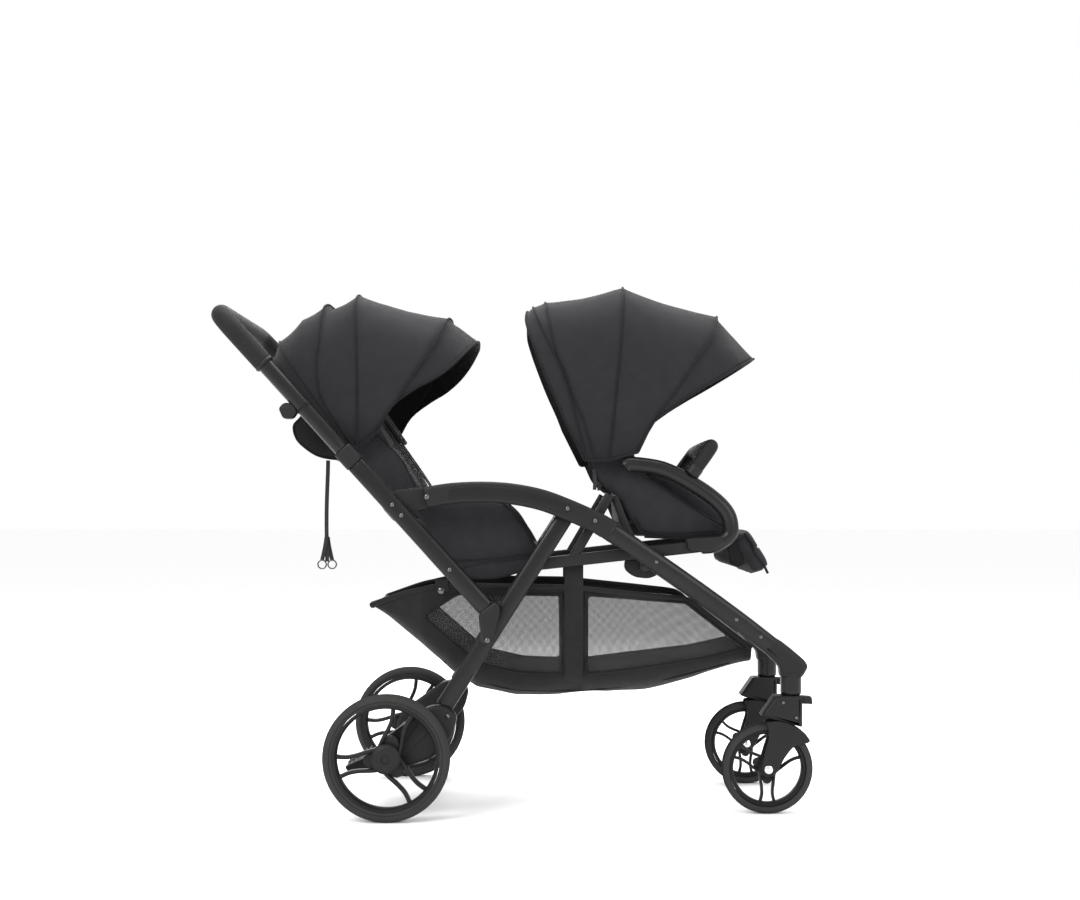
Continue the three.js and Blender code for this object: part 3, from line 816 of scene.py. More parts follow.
def bumper():
    corner = 0.060
    half = [(0.576, ARM_Y - 0.002, 0.652), (0.590, ARM_Y - 0.002, 0.670), (0.606, ARM_Y - 0.004, 0.692),
            (0.616, ARM_Y - 0.016, 0.706), (0.619, ARM_Y - corner, 0.709)]
    points = [at(x, z, y) for x, y, z in half] + [at(0.620, 0.710)]
    points += [at(x, z, -y) for x, y, z in reversed(half)]
    bar = round_tube("bumper_sleeve", points, 0.0135, foam(), 8, 28)
    place(bar, "bumper", "grip_foam", "bumper_bar")
    seam = [p + Vector((-0.0095, 0, -0.0096)) for p in spline(points[3:8], 6)]
    thread = sweep("bumper_zip_seam", seam, oval(0.0022, 0.0022, 8, 1.0), piping_cloth())
    place(thread, "bumper", "grip_foam")
    for tag, side in SIDES:
        start = at(0.580, 0.657, side * ARM_Y)
        stub = [start + Vector((0.0062, 0, 0.0082)) * (k - 0.6) for k in range(3)]
        collar = sweep(f"bumper_end_{tag}", stub,
                       oval(0.0295, 0.0295, 28, 1.0), moulded_plastic(), up=(0, 1, 0))
        place(collar, "bumper", "black_plastic")


def casters():
    x, z = SWIVEL_X, FRONT_RADIUS
    ax = WHEELBASE
    floor_z = 2 * FRONT_RADIUS + 0.005
    plate_out = FRONT_Y + 0.015 + 0.002 + 0.008
    plate_in = FRONT_Y - 0.015 - 0.002 - 0.008
    crown = rounded([(x - 0.053, 0.186), (x - 0.063, 0.190), (x - 0.053, 0.204), (x - 0.040, 0.2225),
                     (x - 0.036, 0.2285), (x + 0.0165, 0.2285), (x + 0.0165, floor_z - 0.012)], 0.004)
    cheek = rounded([(x - 0.053, floor_z - 0.001), (x - 0.030, floor_z + 0.001), (x - 0.009, 0.176),
                     (x + 0.005, 0.168), (x + 0.020, 0.159), (x + 0.032, 0.142), (x + 0.025, 0.137),
                     (x + 0.011, 0.137), (x - 0.004, 0.128), (x - 0.019, 0.108), (ax + 0.0195, z - 0.001),
                     (ax + 0.0095, z - 0.011), (ax - 0.006, z - 0.010), (ax - 0.0145, z + 0.003),
                     (ax - 0.006, z + 0.033), (ax + 0.0025, z + 0.060)], 0.007)
    for tag, side in SIDES:
        top = plate(f"caster_{tag}_crown", [crown], side * plate_in, side * plate_out,
                    moulded_plastic(), 0.007)
        outer = plate(f"caster_{tag}_cheek_out", [cheek], side * (plate_out - 0.008), side * plate_out,
                      moulded_plastic(), 0.003)
        inner = plate(f"caster_{tag}_cheek_in", [cheek], side * plate_in, side * (plate_in + 0.008),
                      moulded_plastic(), 0.003)
        fork = join(f"caster_{tag}_fork", top, outer, inner)
        place(fork, f"caster_{tag}", "black_plastic", f"caster_fork_{tag}")
        for n, (along, up) in enumerate(((-0.021, 0.216), (0.004, 0.187))):
            rivet(f"caster_{tag}_screw_{n}", x + along, up, side * plate_out, f"caster_{tag}", 0.0038)
        disc = turned(f"caster_{tag}_disc", Vector((0, 0, 0)), [
            (0, -0.0005), (0.020, -0.0005), (0.0215, 0.0006), (0.0200, 0.0016), (0, 0.0018)],
            tube_paint(), 40)
        for vertex in disc.data.vertices:
            across, up, along = vertex.co.x, vertex.co.y, vertex.co.z
            vertex.co = at(x, 0.2240, side * FRONT_Y) + Vector((across, along, up))
        place(disc, f"caster_{tag}", "tube_paint")
        tab = rounded([(x + 0.016, 0.212), (x + 0.038, 0.211), (x + 0.036, 0.226), (x + 0.016, 0.227)],
                      0.003)
        lever = plate(f"swivel_lock_{tag}_tab", [tab],
                      side * (FRONT_Y - 0.012), side * (FRONT_Y + 0.012), moulded_plastic(), 0.0028)
        place(lever, f"swivel_lock_{tag}", "black_plastic", f"swivel_lock_{tag}")


# ---- push handle -------------------------------------------------------------------------------------


def push_handle():
    shares = {"collar": 0.485, "collar_top": 0.535, "grip": 0.825}
    for tag, side in SIDES:
        y = side * OUTER_Y
        tube = oval_bar(f"handle_tube_{tag}_oval", at(*HANDLE_FOOT, y),
                        at(*mix(HANDLE_FOOT, PUSH_BAR, shares["collar"]), y), tube_paint())
        place(tube, "push_handle", "tube_paint", f"handle_tube_{tag}")
        outline = rounded([(0.178, 0.334), (0.189, 0.326), (0.200, 0.336), (0.212, 0.384), (0.214, 0.402),
                           (0.204, 0.414), (0.178, 0.396), (0.172, 0.386)], 0.006)
        hinge = plate(f"handle_hinge_{tag}_shell", [outline],
                      side * (OUTER_Y - 0.0102), side * (OUTER_Y + 0.0125),
                      moulded_plastic(), 0.006)
        place(hinge, "push_handle", "black_plastic", f"handle_hinge_{tag}")
        rivet(f"handle_hinge_{tag}_rivet", 0.189, 0.340, side * (OUTER_Y + 0.0125), "push_handle", 0.0055)
        bracket_outline = rounded([(-0.014, 0.592), (0.014, 0.560), (0.036, 0.577), (0.084, 0.590),
                                   (0.094, 0.612), (0.074, 0.629), (0.012, 0.624)], 0.010)
        bracket = plate(f"arch_bracket_{tag}_plate", [bracket_outline], side * (OUTER_Y - 0.024),
                        side * (OUTER_Y - 0.011), moulded_plastic(), 0.004)
        place(bracket, "push_handle", "black_plastic", f"arch_bracket_{tag}")
        collar = oval_bar(f"fold_collar_{tag}_shell", at(*mix(HANDLE_FOOT, PUSH_BAR, shares["collar"]), y),
                          at(*mix(HANDLE_FOOT, PUSH_BAR, shares["collar_top"]), y), moulded_plastic(),
                          0.0375, 0.026)
        place(collar, "push_handle", "black_plastic", f"fold_collar_{tag}")
        cuff = oval_bar(f"handle_cuff_{tag}", at(*mix(HANDLE_FOOT, PUSH_BAR, 0.675), y),
                        at(*mix(HANDLE_FOOT, PUSH_BAR, 0.679), y), moulded_plastic(), 0.0316, 0.0316)
        place(cuff, "push_handle", "black_plastic")
        for n, (px, pz) in enumerate([(0.010, 0.595), (0.027, 0.575), (0.118, 0.473)]):
            rivet(f"handle_rivet_{tag}_{n}", px, pz, side * (OUTER_Y + 0.0098), "push_handle")

    bar = push_bar_line(shares["collar_top"])
    tube = sweep("push_bar_tube", bar, oval(0.030, 0.030, 28, 1.0), tube_paint())
    place(tube, "push_handle", "tube_paint", "push_bar")
    grip = sweep("push_bar_foam", push_bar_line(shares["grip"]), oval(0.038, 0.038, 32, 1.0), foam())
    place(grip, "push_handle", "grip_foam", "push_bar_grip")
    for tag, side in SIDES:
        ends = [at(*mix(HANDLE_FOOT, PUSH_BAR, share), side * OUTER_Y) for share in (0.818, 0.824, 0.830)]
        ring = sweep(f"grip_ring_{tag}", ends, oval(0.0395, 0.0395, 32, 1.0), moulded_plastic(),
                     up=(0, 1, 0))
        place(ring, "push_handle", "black_plastic")
    knob = plate("storage_catch", [rounded([(-0.205, 0.777), (-0.196, 0.757), (-0.178, 0.757),
                                            (-0.168, 0.771), (-0.178, 0.786), (-0.194, 0.788)], 0.006)],
                 -(OUTER_Y + 0.010), -(OUTER_Y - 0.014), moulded_plastic(), 0.004)
    place(knob, "push_handle", "black_plastic")


def push_bar_line(share):
    """Up one side, across and down the other, with rounded corners."""
    corner = 0.055
    length = (Vector(PUSH_BAR) - Vector(HANDLE_FOOT)).length
    foot = mix(HANDLE_FOOT, PUSH_BAR, share)
    bend = mix(HANDLE_FOOT, PUSH_BAR, 1 - corner / length)
    left = [at(*foot, OUTER_Y), at(*bend, OUTER_Y), at(*PUSH_BAR, OUTER_Y), at(*PUSH_BAR, OUTER_Y - corner)]
    straight = [left[0] + (left[1] - left[0]) * k / 8 for k in range(8)]
    arc = [left[1] * (1 - t) ** 2 + left[2] * 2 * t * (1 - t) + left[3] * t * t
           for t in (k / 12 for k in range(13))]
    half = straight + arc
    mirrored = [Vector((p.x, -p.y, p.z)) for p in reversed(half)]
    across = [half[-1] + (mirrored[0] - half[-1]) * k / 10 for k in range(1, 10)]
    return half + across + mirrored


# ---- soft goods --------------------------------------------------------------------------------------


def pillow(name, corner, along, across, out, coat, thick, channels=(), cross_channels=(),
           edge=2.6, cells=(44, 40), creases=0.0016):
    """A crowned pad on a rounded rectangle. corner is its middle; along, across and out are its half
    sides and the way its face looks. Sewn channels are at places from -1 to 1."""
    rows, columns = cells
    normal = out.normalized()
    points = []
    for face in (1, -1):
        for i in range(rows + 1):
            for j in range(columns + 1):
                u = -1 + 2 * i / rows
                v = -1 + 2 * j / columns
                u_round = u * math.sqrt(1 - 0.30 * v**4 * abs(v) ** 3 / 2)
                v_round = v * math.sqrt(1 - 0.30 * u**4 * abs(u) ** 3 / 2)
                pull = 1
                pull -= 0.018 * (1 - u * u) if abs(v) > 0.99 else 0
                pull -= 0.018 * (1 - v * v) if abs(u) > 0.99 else 0
                rise = ((1 - abs(u) ** (2 * edge)) * (1 - abs(v) ** (2 * edge))) ** 0.5
                height = thick * (0.42 + 0.58 * rise) if rise > 0 else 0
                if face > 0:
                    for place_at in channels:
                        height -= thick * 0.34 * math.exp(-(((v - place_at) / 0.035) ** 2)) * rise
                    for place_at in cross_channels:
                        height -= thick * 0.34 * math.exp(-(((u - place_at) / 0.03) ** 2)) * rise
                if rise <= 0:
                    height = 0
                point = corner + along * (u_round * pull) + across * (v_round * pull)
                point += normal * (height * (0.5 if face > 0 else -0.5))
                points.append(point)
    faces = []
    sheet_size = (rows + 1) * (columns + 1)
    for face in range(2):
        for i in range(rows):
            for j in range(columns):
                a = face * sheet_size + i * (columns + 1) + j
                quad = (a, a + 1, a + columns + 2, a + columns + 1)
                faces.append(quad if face == 0 else quad[::-1])
    thing = mesh_object(name, points, faces, coat)
    return crumple(thing, 0.035, creases)


def soft_panel(name, outline, near, far, coat, crown=0.006, rings=9, creases=0.0012):
    """A flat padded panel with a side-view outline, crowned towards its middle on both faces."""
    border = rounded(outline, 0.016, 6)
    line = []
    for i, point in enumerate(border):
        following = border[(i + 1) % len(border)]
        steps = max(1, round((following - point).length / 0.010))
        line += [point + (following - point) * k / steps for k in range(steps)]
    centre = sum(line, Vector((0, 0))) / len(line)
    count = len(line)
    points, faces = [], []
    for face in (1, -1):
        y_face = max(near, far) if face > 0 else min(near, far)
        for ring in range(rings):
            share = 1 - (ring / rings) ** 1.15
            depth = crown * (1 - share**5)
            for point in line:
                flat = centre + (point - centre) * share
                points.append(at(flat.x, flat.y, y_face - face * (crown - depth)))
        points.append(at(centre.x, centre.y, y_face))
    layer = rings * count + 1
    for face in range(2):
        base = face * layer
        for ring in range(rings - 1):
            for k in range(count):
                m = (k + 1) % count
                a, b = base + ring * count + k, base + ring * count + m
                faces.append((a, b, b + count, a + count))
        tip = base + rings * count
        for k in range(count):
            last_ring = base + (rings - 1) * count
            faces.append((last_ring + k, last_ring + (k + 1) % count, tip))
    for k in range(count):
        m = (k + 1) % count
        faces.append((k, m, layer + m, layer + k))
    thing = mesh_object(name, points, faces, coat)
    return crumple(thing, 0.03, creases)


def cord_on(name, points, coat, radius=PIPING, per_span=6, closed=False):
    return sweep(name, spline(points, per_span, closed), oval(2 * radius, 2 * radius, 10, 1.0), coat,
                 closed=closed)


def flat_strap(name, points, width, thick, coat, up, per_span=8):
    """Flat webbing along a line; up is the way across its width."""
    section = [(thick / 2 * a, width / 2 * b) for a, b in ((-1, -1), (-1, 1), (1, 1), (1, -1))]
    return sweep(name, spline(points, per_span), section, coat, up=up, caps=False)


def harness(prefix, body, line, y_out):
    """Shoulder and lap straps to a buckle on the seat; line runs from shoulder to buckle."""
    pieces = []
    low = Vector(line[-1])
    for n, way in enumerate((-1, 1)):
        run = [at(x, z, way * (0.055 - 0.040 * k / (len(line) - 1))) for k, (x, z) in enumerate(line)]
        pieces.append(flat_strap(f"{prefix}_shoulder_{n}", run, 0.024, 0.0022, webbing(), (0, 1, 0)))
        cover = [p + Vector((0.004, 0, 0.002)) for p in run[:3]]
        pad = flat_strap(f"{prefix}_shoulder_pad_{n}", cover, 0.044, 0.009, seat_cloth(), (0, 1, 0), 10)
        pieces.append(bevelled(pad, 0.004, 3, 30))
        lap = [at(low.x - 0.045, low.y - 0.004, way * y_out),
               at(low.x - 0.012, low.y + 0.006, way * 0.60 * y_out),
               at(low.x, low.y, way * 0.018)]
        pieces.append(flat_strap(f"{prefix}_lap_{n}", lap, 0.022, 0.0022, webbing(), (0, 0, 1)))
    place(join(f"{prefix}_harness", *pieces), body, "webbing")
    centre = at(low.x, low.y)
    shield = rounded([(-0.011, -0.024), (0.009, -0.026), (0.012, 0.018), (0.0, 0.026), (-0.012, 0.018)],
                     0.008)
    shell = plate(f"{prefix}_buckle", [shield], -0.024, 0.024, moulded_plastic(), 0.005)
    for vertex in shell.data.vertices:
        vertex.co += centre - at(0, 0)
    place(shell, body, "black_plastic")
    button = turned(f"{prefix}_buckle_button", Vector((0, 0, 0)), [
        (0, 0), (0.009, 0), (0.0095, 0.0015), (0.008, 0.003), (0, 0.0034)], tube_paint(), 28)
    for vertex in button.data.vertices:
        vertex.co = Vector((vertex.co.y, vertex.co.x, vertex.co.z)) + centre + Vector((0.0105, 0, -0.003))
    place(button, body, "black_plastic")


def throat(prefix, low, high, nearer):
    """The cloth that joins a seat's back wall to its backrest, from low to high in the side view."""
    start, end = at(*low), at(*high)
    half = (end - start) / 2
    face = Vector((half.z, 0, -half.x))
    cloth = pillow(f"{prefix}_seat_throat", start + half, half, Vector((0, SEAT_HALF - nearer, 0)), face,
                   seat_cloth(), 0.006, cells=(14, 40), creases=0.0010)
    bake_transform(cloth)


def fold_away(keep, foot, *things):
    """Gives each of these soft pieces a mesh of its own; foot is not used."""
    for thing in things:
        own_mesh(thing)


def rear_seat():
    wing = [(0.040, 0.592), (0.140, 0.602), (0.221, 0.597), (0.242, 0.577), (0.259, 0.551), (0.274, 0.527),
            (0.284, 0.503), (0.270, 0.492), (0.200, 0.486), (0.125, 0.470), (0.076, 0.534)]
    skirt = [(0.128, 0.484), (0.200, 0.490), (0.276, 0.500), (0.286, 0.482), (0.246, 0.463), (0.211, 0.453),
             (0.171, 0.450), (0.140, 0.455)]
    pieces, soft = [], []
    for tag, side in SIDES:
        outer = side * SEAT_HALF
        panel = soft_panel(f"rear_wing_{tag}", wing, side * (SEAT_HALF - 0.026), outer, seat_cloth())
        place(panel, "front_frame", "seat_fabric", *(["rear_seat"] if tag == "l" else []))
        flap = soft_panel(f"rear_skirt_{tag}", skirt,
                          side * (SEAT_HALF - 0.016), side * (SEAT_HALF - 0.007),
                          seat_cloth(), 0.002, 5)
        place(flap, "front_frame", "seat_fabric")
        soft += [panel, flap]
        edge = [at(x - 0.003, z, side * (SEAT_HALF - 0.006)) for x, z in wing[2:8]]
        pieces.append(cord_on(f"rear_wing_piping_{tag}", edge, piping_cloth(), 0.0032))
        top = [at(x, z + 0.001, side * (SEAT_HALF - 0.013)) for x, z in wing[:3]]
        pieces.append(cord_on(f"rear_wing_top_{tag}", top, piping_cloth(), 0.0022))
        seam = [at(x, z, side * (SEAT_HALF + 0.0003)) for x, z in
                [(0.112, 0.486), (0.160, 0.489), (0.215, 0.493), (0.278, 0.505)]]
        pieces.append(cord_on(f"rear_wing_seam_{tag}", seam, piping_cloth(), 0.0011))
    both = join("rear_seat_piping", *pieces)
    place(both, "front_frame", "seat_fabric")
    base = at(0.192, 0.510)
    pan = pillow("rear_seat_pad", base, at(0.288, 0.506) - base, Vector((0, SEAT_HALF - 0.030, 0)),
                 Vector((0, 0, 1)), seat_cloth(), 0.030, (-0.45, 0.45), (0.25,))
    place(pan, "front_frame", "seat_fabric")
    back = pillow("rear_seat_back_wall", at(0.094, 0.555), at(0.070, 0.592) - at(0.094, 0.555),
                  Vector((0, SEAT_HALF - 0.034, 0)), Vector((0.8, 0, 0.55)), seat_cloth(), 0.014,
                  cells=(12, 40))
    place(back, "front_frame", "seat_fabric")
    fold_away(0.35, at(0.2, 0.455), both, pan, back, *soft)
    throat("rear", (0.078, 0.575), (0.038, 0.634), 0.040)
    rest_foot, rest_head = at(0.048, 0.618), at(-0.118, 0.862)
    half = (rest_head - rest_foot) / 2
    face = Vector((half.z, 0, -half.x))
    rest = pillow("rear_backrest_pad", rest_foot + half, half, Vector((0, SEAT_HALF - 0.010, 0)), face,
                  seat_cloth(), 0.030, (-0.42, 0.42), (-0.3, 0.35))
    place(rest, "rear_recliner", "seat_fabric", "rear_backrest")
    bolster = [(-0.085, 0.705), (-0.062, 0.740), (-0.030, 0.728), (-0.0134, 0.7153), (0.012, 0.690),
               (0.027, 0.6685), (0.035, 0.647), (0.046, 0.620), (0.052, 0.598), (0.020, 0.590),
               (-0.020, 0.640)]
    for tag, side in SIDES:
        panel = soft_panel(f"rear_backrest_wing_{tag}", bolster, side * (SEAT_HALF - 0.028),
                           side * (SEAT_HALF - 0.002), seat_cloth())
        place(panel, "rear_recliner", "seat_fabric")
        lip = [at(x, z, side * (SEAT_HALF - 0.012)) for x, z in bolster[2:9]]
        lip_cord = cord_on(f"rear_backrest_piping_{tag}", lip, piping_cloth(), 0.0026)
        place(lip_cord, "rear_recliner", "seat_fabric")
    harness("rear", "rear_recliner", [(-0.078, 0.836), (-0.040, 0.782), (0.004, 0.720), (0.048, 0.658),
                                      (0.078, 0.612)], 0.120)


def backrest_sling():
    """Gathered cloth that hangs behind the rear backrest and carries the recline strap."""
    line = [(-0.112, 0.846), (-0.150, 0.800), (-0.178, 0.766), (-0.192, 0.748), (-0.186, 0.722),
            (-0.166, 0.702), (-0.142, 0.688), (-0.112, 0.682), (-0.070, 0.680), (-0.028, 0.640),
            (-0.012, 0.602), (0.020, 0.590)]
    spine = spline(line, 6)
    columns = 48
    half = SEAT_HALF - 0.022
    points, faces = [], []
    for i, p in enumerate(spine):
        before, after = spine[max(i - 1, 0)], spine[min(i + 1, len(spine) - 1)]
        run = (after - before).normalized()
        normal = Vector((run.y, -run.x))
        for j in range(columns + 1):
            v = -1 + 2 * j / columns
            gathers = noise.noise(Vector((7.0 * v, 0.05 * i, 0)))
            fold = (0.0060 * gathers + 0.0012 * math.sin(23 * v + 0.11 * i)) * (1 - v**6)
            sag = 0.010 * (1 - v * v) * math.sin(math.pi * i / len(spine))
            q = p - normal * (fold + sag)
            points.append(at(q.x, q.y, v * half))
    for i in range(len(spine) - 1):
        for j in range(columns):
            a = i * (columns + 1) + j
            faces.append((a, a + 1, a + columns + 2, a + columns + 1))
    cloth = mesh_object("backrest_sling_cloth", points, faces, seat_cloth())
    cloth = thicken(cloth, 0.0016)
    place(cloth, "rear_recliner", "seat_fabric", "backrest_sling")
    gusset = [(-0.116, 0.840), (-0.150, 0.800), (-0.190, 0.750), (-0.184, 0.722), (-0.164, 0.702),
              (-0.142, 0.690), (-0.112, 0.684), (-0.072, 0.684), (-0.030, 0.640), (-0.010, 0.660),
              (-0.060, 0.735)]
    for tag, side in SIDES:
        panel = soft_panel(f"sling_gusset_{tag}", gusset, side * (half - 0.006), side * half, lining(),
                           0.0025)
        place(panel, "rear_recliner", "seat_fabric")


def thicken(thing, thickness, inner=None, offset=-1.0):
    modifier = thing.modifiers.new("cloth", "SOLIDIFY")
    modifier.thickness = thickness
    modifier.offset = offset
    if inner:
        thing.data.materials.append(inner)
        modifier.material_offset = 1
        modifier.material_offset_rim = 1
    return apply_modifiers(thing)


def front_seat():
    wing = [(0.399, 0.646), (0.384, 0.678), (0.400, 0.702), (0.466, 0.702), (0.476, 0.672), (0.499, 0.646),
            (0.560, 0.603), (0.600, 0.576), (0.648, 0.550), (0.640, 0.536), (0.567, 0.532), (0.489, 0.534),
            (0.463, 0.567), (0.453, 0.588), (0.442, 0.610), (0.417, 0.628)]
    inner = [(0.470, 0.640), (0.500, 0.656), (0.560, 0.634), (0.612, 0.600), (0.650, 0.568), (0.644, 0.545),
             (0.500, 0.545)]
    trim = []
    for tag, side in SIDES:
        panel = soft_panel(f"front_wing_{tag}", wing,
                           side * (SEAT_HALF - 0.026), side * SEAT_HALF, seat_cloth(),
                           0.007)
        place(panel, "front_frame", "seat_fabric", *(["front_seat"] if tag == "l" else []))
        edge = [at(x, z, side * (SEAT_HALF - 0.008)) for x, z in wing[5:12]]
        trim.append(cord_on(f"front_wing_piping_{tag}", edge, piping_cloth(), 0.0030))
        seam = [at(x, z, side * (SEAT_HALF + 0.0003)) for x, z in
                [(0.470, 0.572), (0.492, 0.545), (0.560, 0.541), (0.622, 0.546)]]
        trim.append(cord_on(f"front_wing_seam_{tag}", seam, piping_cloth(), 0.0011))
        bolster = soft_panel(f"front_bolster_{tag}", inner,
                             side * (SEAT_HALF - 0.062), side * (SEAT_HALF - 0.034),
                             seat_cloth(), 0.008)
        place(bolster, "front_frame", "seat_fabric")
        rear_corners = [wing[k] for k in (1, 0, 15, 14, 13, 12)]
        back = [at(x, z, side * (SEAT_HALF - 0.010)) for x, z in rear_corners]
        trim.append(cord_on(f"front_wing_back_{tag}", back, piping_cloth(), 0.0026))
    place(join("front_seat_piping", *trim), "front_frame", "seat_fabric")
    base = at(0.548, 0.547)
    pan = pillow("front_seat_pad", base, at(0.652, 0.545) - base, Vector((0, SEAT_HALF - 0.028, 0)),
                 Vector((0, 0, 1)), seat_cloth(), 0.030, (-0.45, 0.45), (-0.2, 0.4))
    place(pan, "front_frame", "seat_fabric")
    wall = pillow("front_seat_back_wall", at(0.444, 0.600), at(0.442, 0.645) - at(0.444, 0.600),
                  Vector((0, SEAT_HALF - 0.030, 0)), Vector((1, 0, 0)), seat_cloth(), 0.016, cells=(14, 40))
    place(wall, "front_frame", "seat_fabric")
    throat("front", (0.441, 0.632), (0.400, 0.694), 0.038)
    foot, head = at(0.408, 0.676), at(0.326, 0.908)
    half = (head - foot) / 2
    rest = pillow("front_backrest_pad", foot + half, half, Vector((0, SEAT_HALF - 0.012, 0)),
                  Vector((half.z, 0, -half.x)), seat_cloth(), 0.030, (-0.42, 0.42), (-0.3, 0.35))
    place(rest, "front_recliner", "seat_fabric", "front_backrest")
    harness("front", "front_recliner", [(0.362, 0.876), (0.382, 0.820), (0.405, 0.756), (0.428, 0.694),
                                        (0.452, 0.640)], 0.115)
    top, tip = at(0.676, 0.540), at(0.722, 0.466)
    half = (tip - top) / 2
    calf = pillow("legrest_pad", top + half, half,
                  Vector((0, SEAT_HALF - 0.025, 0)), Vector((-half.z, 0, half.x)),
                  seat_cloth(), 0.044, (), (0.0,), cells=(20, 40))
    place(calf, "calf_rest", "seat_fabric", "legrest")
    valance = []
    for tag, side in SIDES:
        edge = [(0.684, 0.540), (0.699, 0.520), (0.706, 0.500), (0.720, 0.482), (0.730, 0.462)]
        hem = [at(x, z, side * (SEAT_HALF - 0.027)) for x, z in edge]
        valance.append(cord_on(f"legrest_piping_{tag}", hem,
                               piping_cloth(), 0.0026))
    place(join("legrest_piping", *valance), "calf_rest", "seat_fabric")
    calf_board = plate("legrest_board", [rounded([(0.652, 0.522), (0.668, 0.526), (0.688, 0.480),
                                                  (0.672, 0.472),
                                                  (0.656, 0.482)], 0.006)], -(SEAT_HALF - 0.034),
                       SEAT_HALF - 0.034, lining(), 0.004)
    place(calf_board, "calf_rest", "black_plastic")
    loop = [at(0.392, 0.664, -(SEAT_HALF - 0.006)), at(0.3935, 0.645, -(SEAT_HALF - 0.004)),
            at(0.393, 0.624, -(SEAT_HALF - 0.005))]
    place(flat_strap("hood_tab", loop, 0.007, 0.002, webbing(), (1, 0, 0)), "front_frame", "webbing")
    board = plate("front_seat_board", [rounded([(0.452, 0.492), (0.523, 0.487), (0.520, 0.462),
                                                (0.500, 0.452), (0.470, 0.455),
                                                (0.450, 0.470)], 0.010)], -0.165, -0.150,
                  moulded_plastic(), 0.004)
    place(board, "front_frame", "black_plastic")


# ---- hoods -------------------------------------------------------------------------------------------


def bow_points(station, half, columns):
    """A bow from its left foot over the roof to its right foot. Its line is given in the side view, from hem
    to roof; the squareness says how boxy the bow is from the front."""
    flat_line, squareness = station
    path = spline(flat_line, 10)
    reach = [0.0]
    for a, b in zip(path, path[1:]):
        reach.append(reach[-1] + (b - a).length)
    steps = list(zip(reach, path))
    line = []
    for j in range(columns + 1):
        turn = math.pi * j / columns
        rise = abs(math.sin(turn)) ** (2 / squareness)
        side = math.copysign(abs(math.cos(turn)) ** (2 / squareness), math.cos(turn))
        share = rise * (1 + 0.018 * (1 - side * side)) / 1.018
        wanted = share * reach[-1]
        for (before, a), (after, b) in zip(steps, steps[1:]):
            if wanted <= after + 1e-9:
                flat = a.lerp(b, (wanted - before) / (after - before))
                break
        line.append(at(flat.x, flat.y, side * half))
    return line


def hood(prefix, stations, pivot, half, sag, inner, nodes, seams):
    """One cloth over all the bows, with an inner coat and piped seams along some of the bows."""
    columns, per_span = 64, 9
    hub = at(*pivot)

    def ruffled(point, dip):
        inward = (hub - Vector((point.x, 0, point.z))).normalized()
        crease = noise.noise(point / 0.085) * 0.0030 + noise.noise(point / 0.028) * 0.0010
        return point + inward * (dip + crease) - Vector((0, math.copysign(0.3 * dip, point.y), 0))

    rows = []
    for n, (first, second) in enumerate(zip(stations, stations[1:])):
        start = bow_points(first, half, columns)
        end = bow_points(second, half, columns)
        visor = n == len(stations) - 2
        depth = 0 if visor else sag * min(1.0, (second[0][-1][0] - first[0][-1][0]) / 0.12)
        for k in range(per_span + visor):
            t = k / per_span
            dip = depth * math.sin(math.pi * t)
            rows.append([ruffled(p.lerp(q, t), dip * math.sin(math.pi * j / columns) ** 0.5)
                         for j, (p, q) in enumerate(zip(start, end))])
    points = [p for row in rows for p in row]
    faces = []
    for i in range(len(rows) - 1):
        for j in range(columns):
            a = i * (columns + 1) + j
            faces.append((a, a + 1, a + columns + 2, a + columns + 1))
    cloth = mesh_object(f"{prefix}_hood_cloth", points, faces, hood_cloth())
    outward = cloth.data.polygons[len(faces) // 2]
    if (outward.center - hub).dot(outward.normal) < 0:
        cloth.data.flip_normals()
    cloth = thicken(cloth, 0.0022, inner)
    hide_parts(*nodes)
    trims = []
    for n, index in enumerate(seams):
        row = rows[index * per_span]
        lifted = [p + ((p - hub).normalized() + Vector((0, math.copysign(1, p.y), 0))) * 0.0008
                  for p in row]
        trims.append(cord_on(f"{prefix}_hood_seam_{n}", lifted, piping_cloth(), 0.0017, 2))
    for n, row in enumerate((rows[0], rows[-1], [row[0] for row in rows], [row[-1] for row in rows])):
        trims.append(cord_on(f"{prefix}_hood_edge_{n}", row, piping_cloth(), 0.0026, 1))
    seam = join(f"{prefix}_hood_piping", *trims)
    for thing in (cloth, seam):
        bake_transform(thing)


def rear_hood():
    stations = [
        ([(-0.098, 0.700), (-0.168, 0.794), (-0.237, 0.888)], 4.6),
        ([(-0.080, 0.712), (-0.153, 0.8145), (-0.226, 0.918)], 4.6),
        ([(-0.072, 0.708), (-0.150, 0.838), (-0.181, 0.962)], 4.4),
        ([(-0.066, 0.707), (-0.126, 0.794), (-0.139, 0.862), (-0.136, 0.915), (-0.133, 0.995)], 4.2),
        ([(-0.065, 0.707), (-0.122, 0.796), (-0.134, 0.862), (-0.131, 0.915), (-0.127, 0.984)], 4.2),
        ([(-0.0605, 0.706), (-0.0615, 0.800), (-0.064, 0.900), (-0.072, 1.013)], 4.2),
        ([(-0.039, 0.720), (0.000, 0.778), (0.0143, 0.796), (0.0498, 0.8495), (0.082, 0.903),
          (0.106, 0.969)], 3.3),
        ([(-0.036, 0.723), (0.003, 0.780), (0.018, 0.798), (0.053, 0.849), (0.085, 0.900),
          (0.111, 0.960)], 3.1),
        ([(-0.022, 0.735), (0.0036, 0.783), (0.0459, 0.816), (0.0874, 0.8405), (0.1254, 0.874),
          (0.163, 0.924)], 2.5),
    ]
    hood("rear", stations, REAR_HOOD_PIVOT, SEAT_HALF + 0.027, 0.006, lining(),
         ["rear_canopy_back", "rear_canopy_front"], (1, 3, 5, 6))


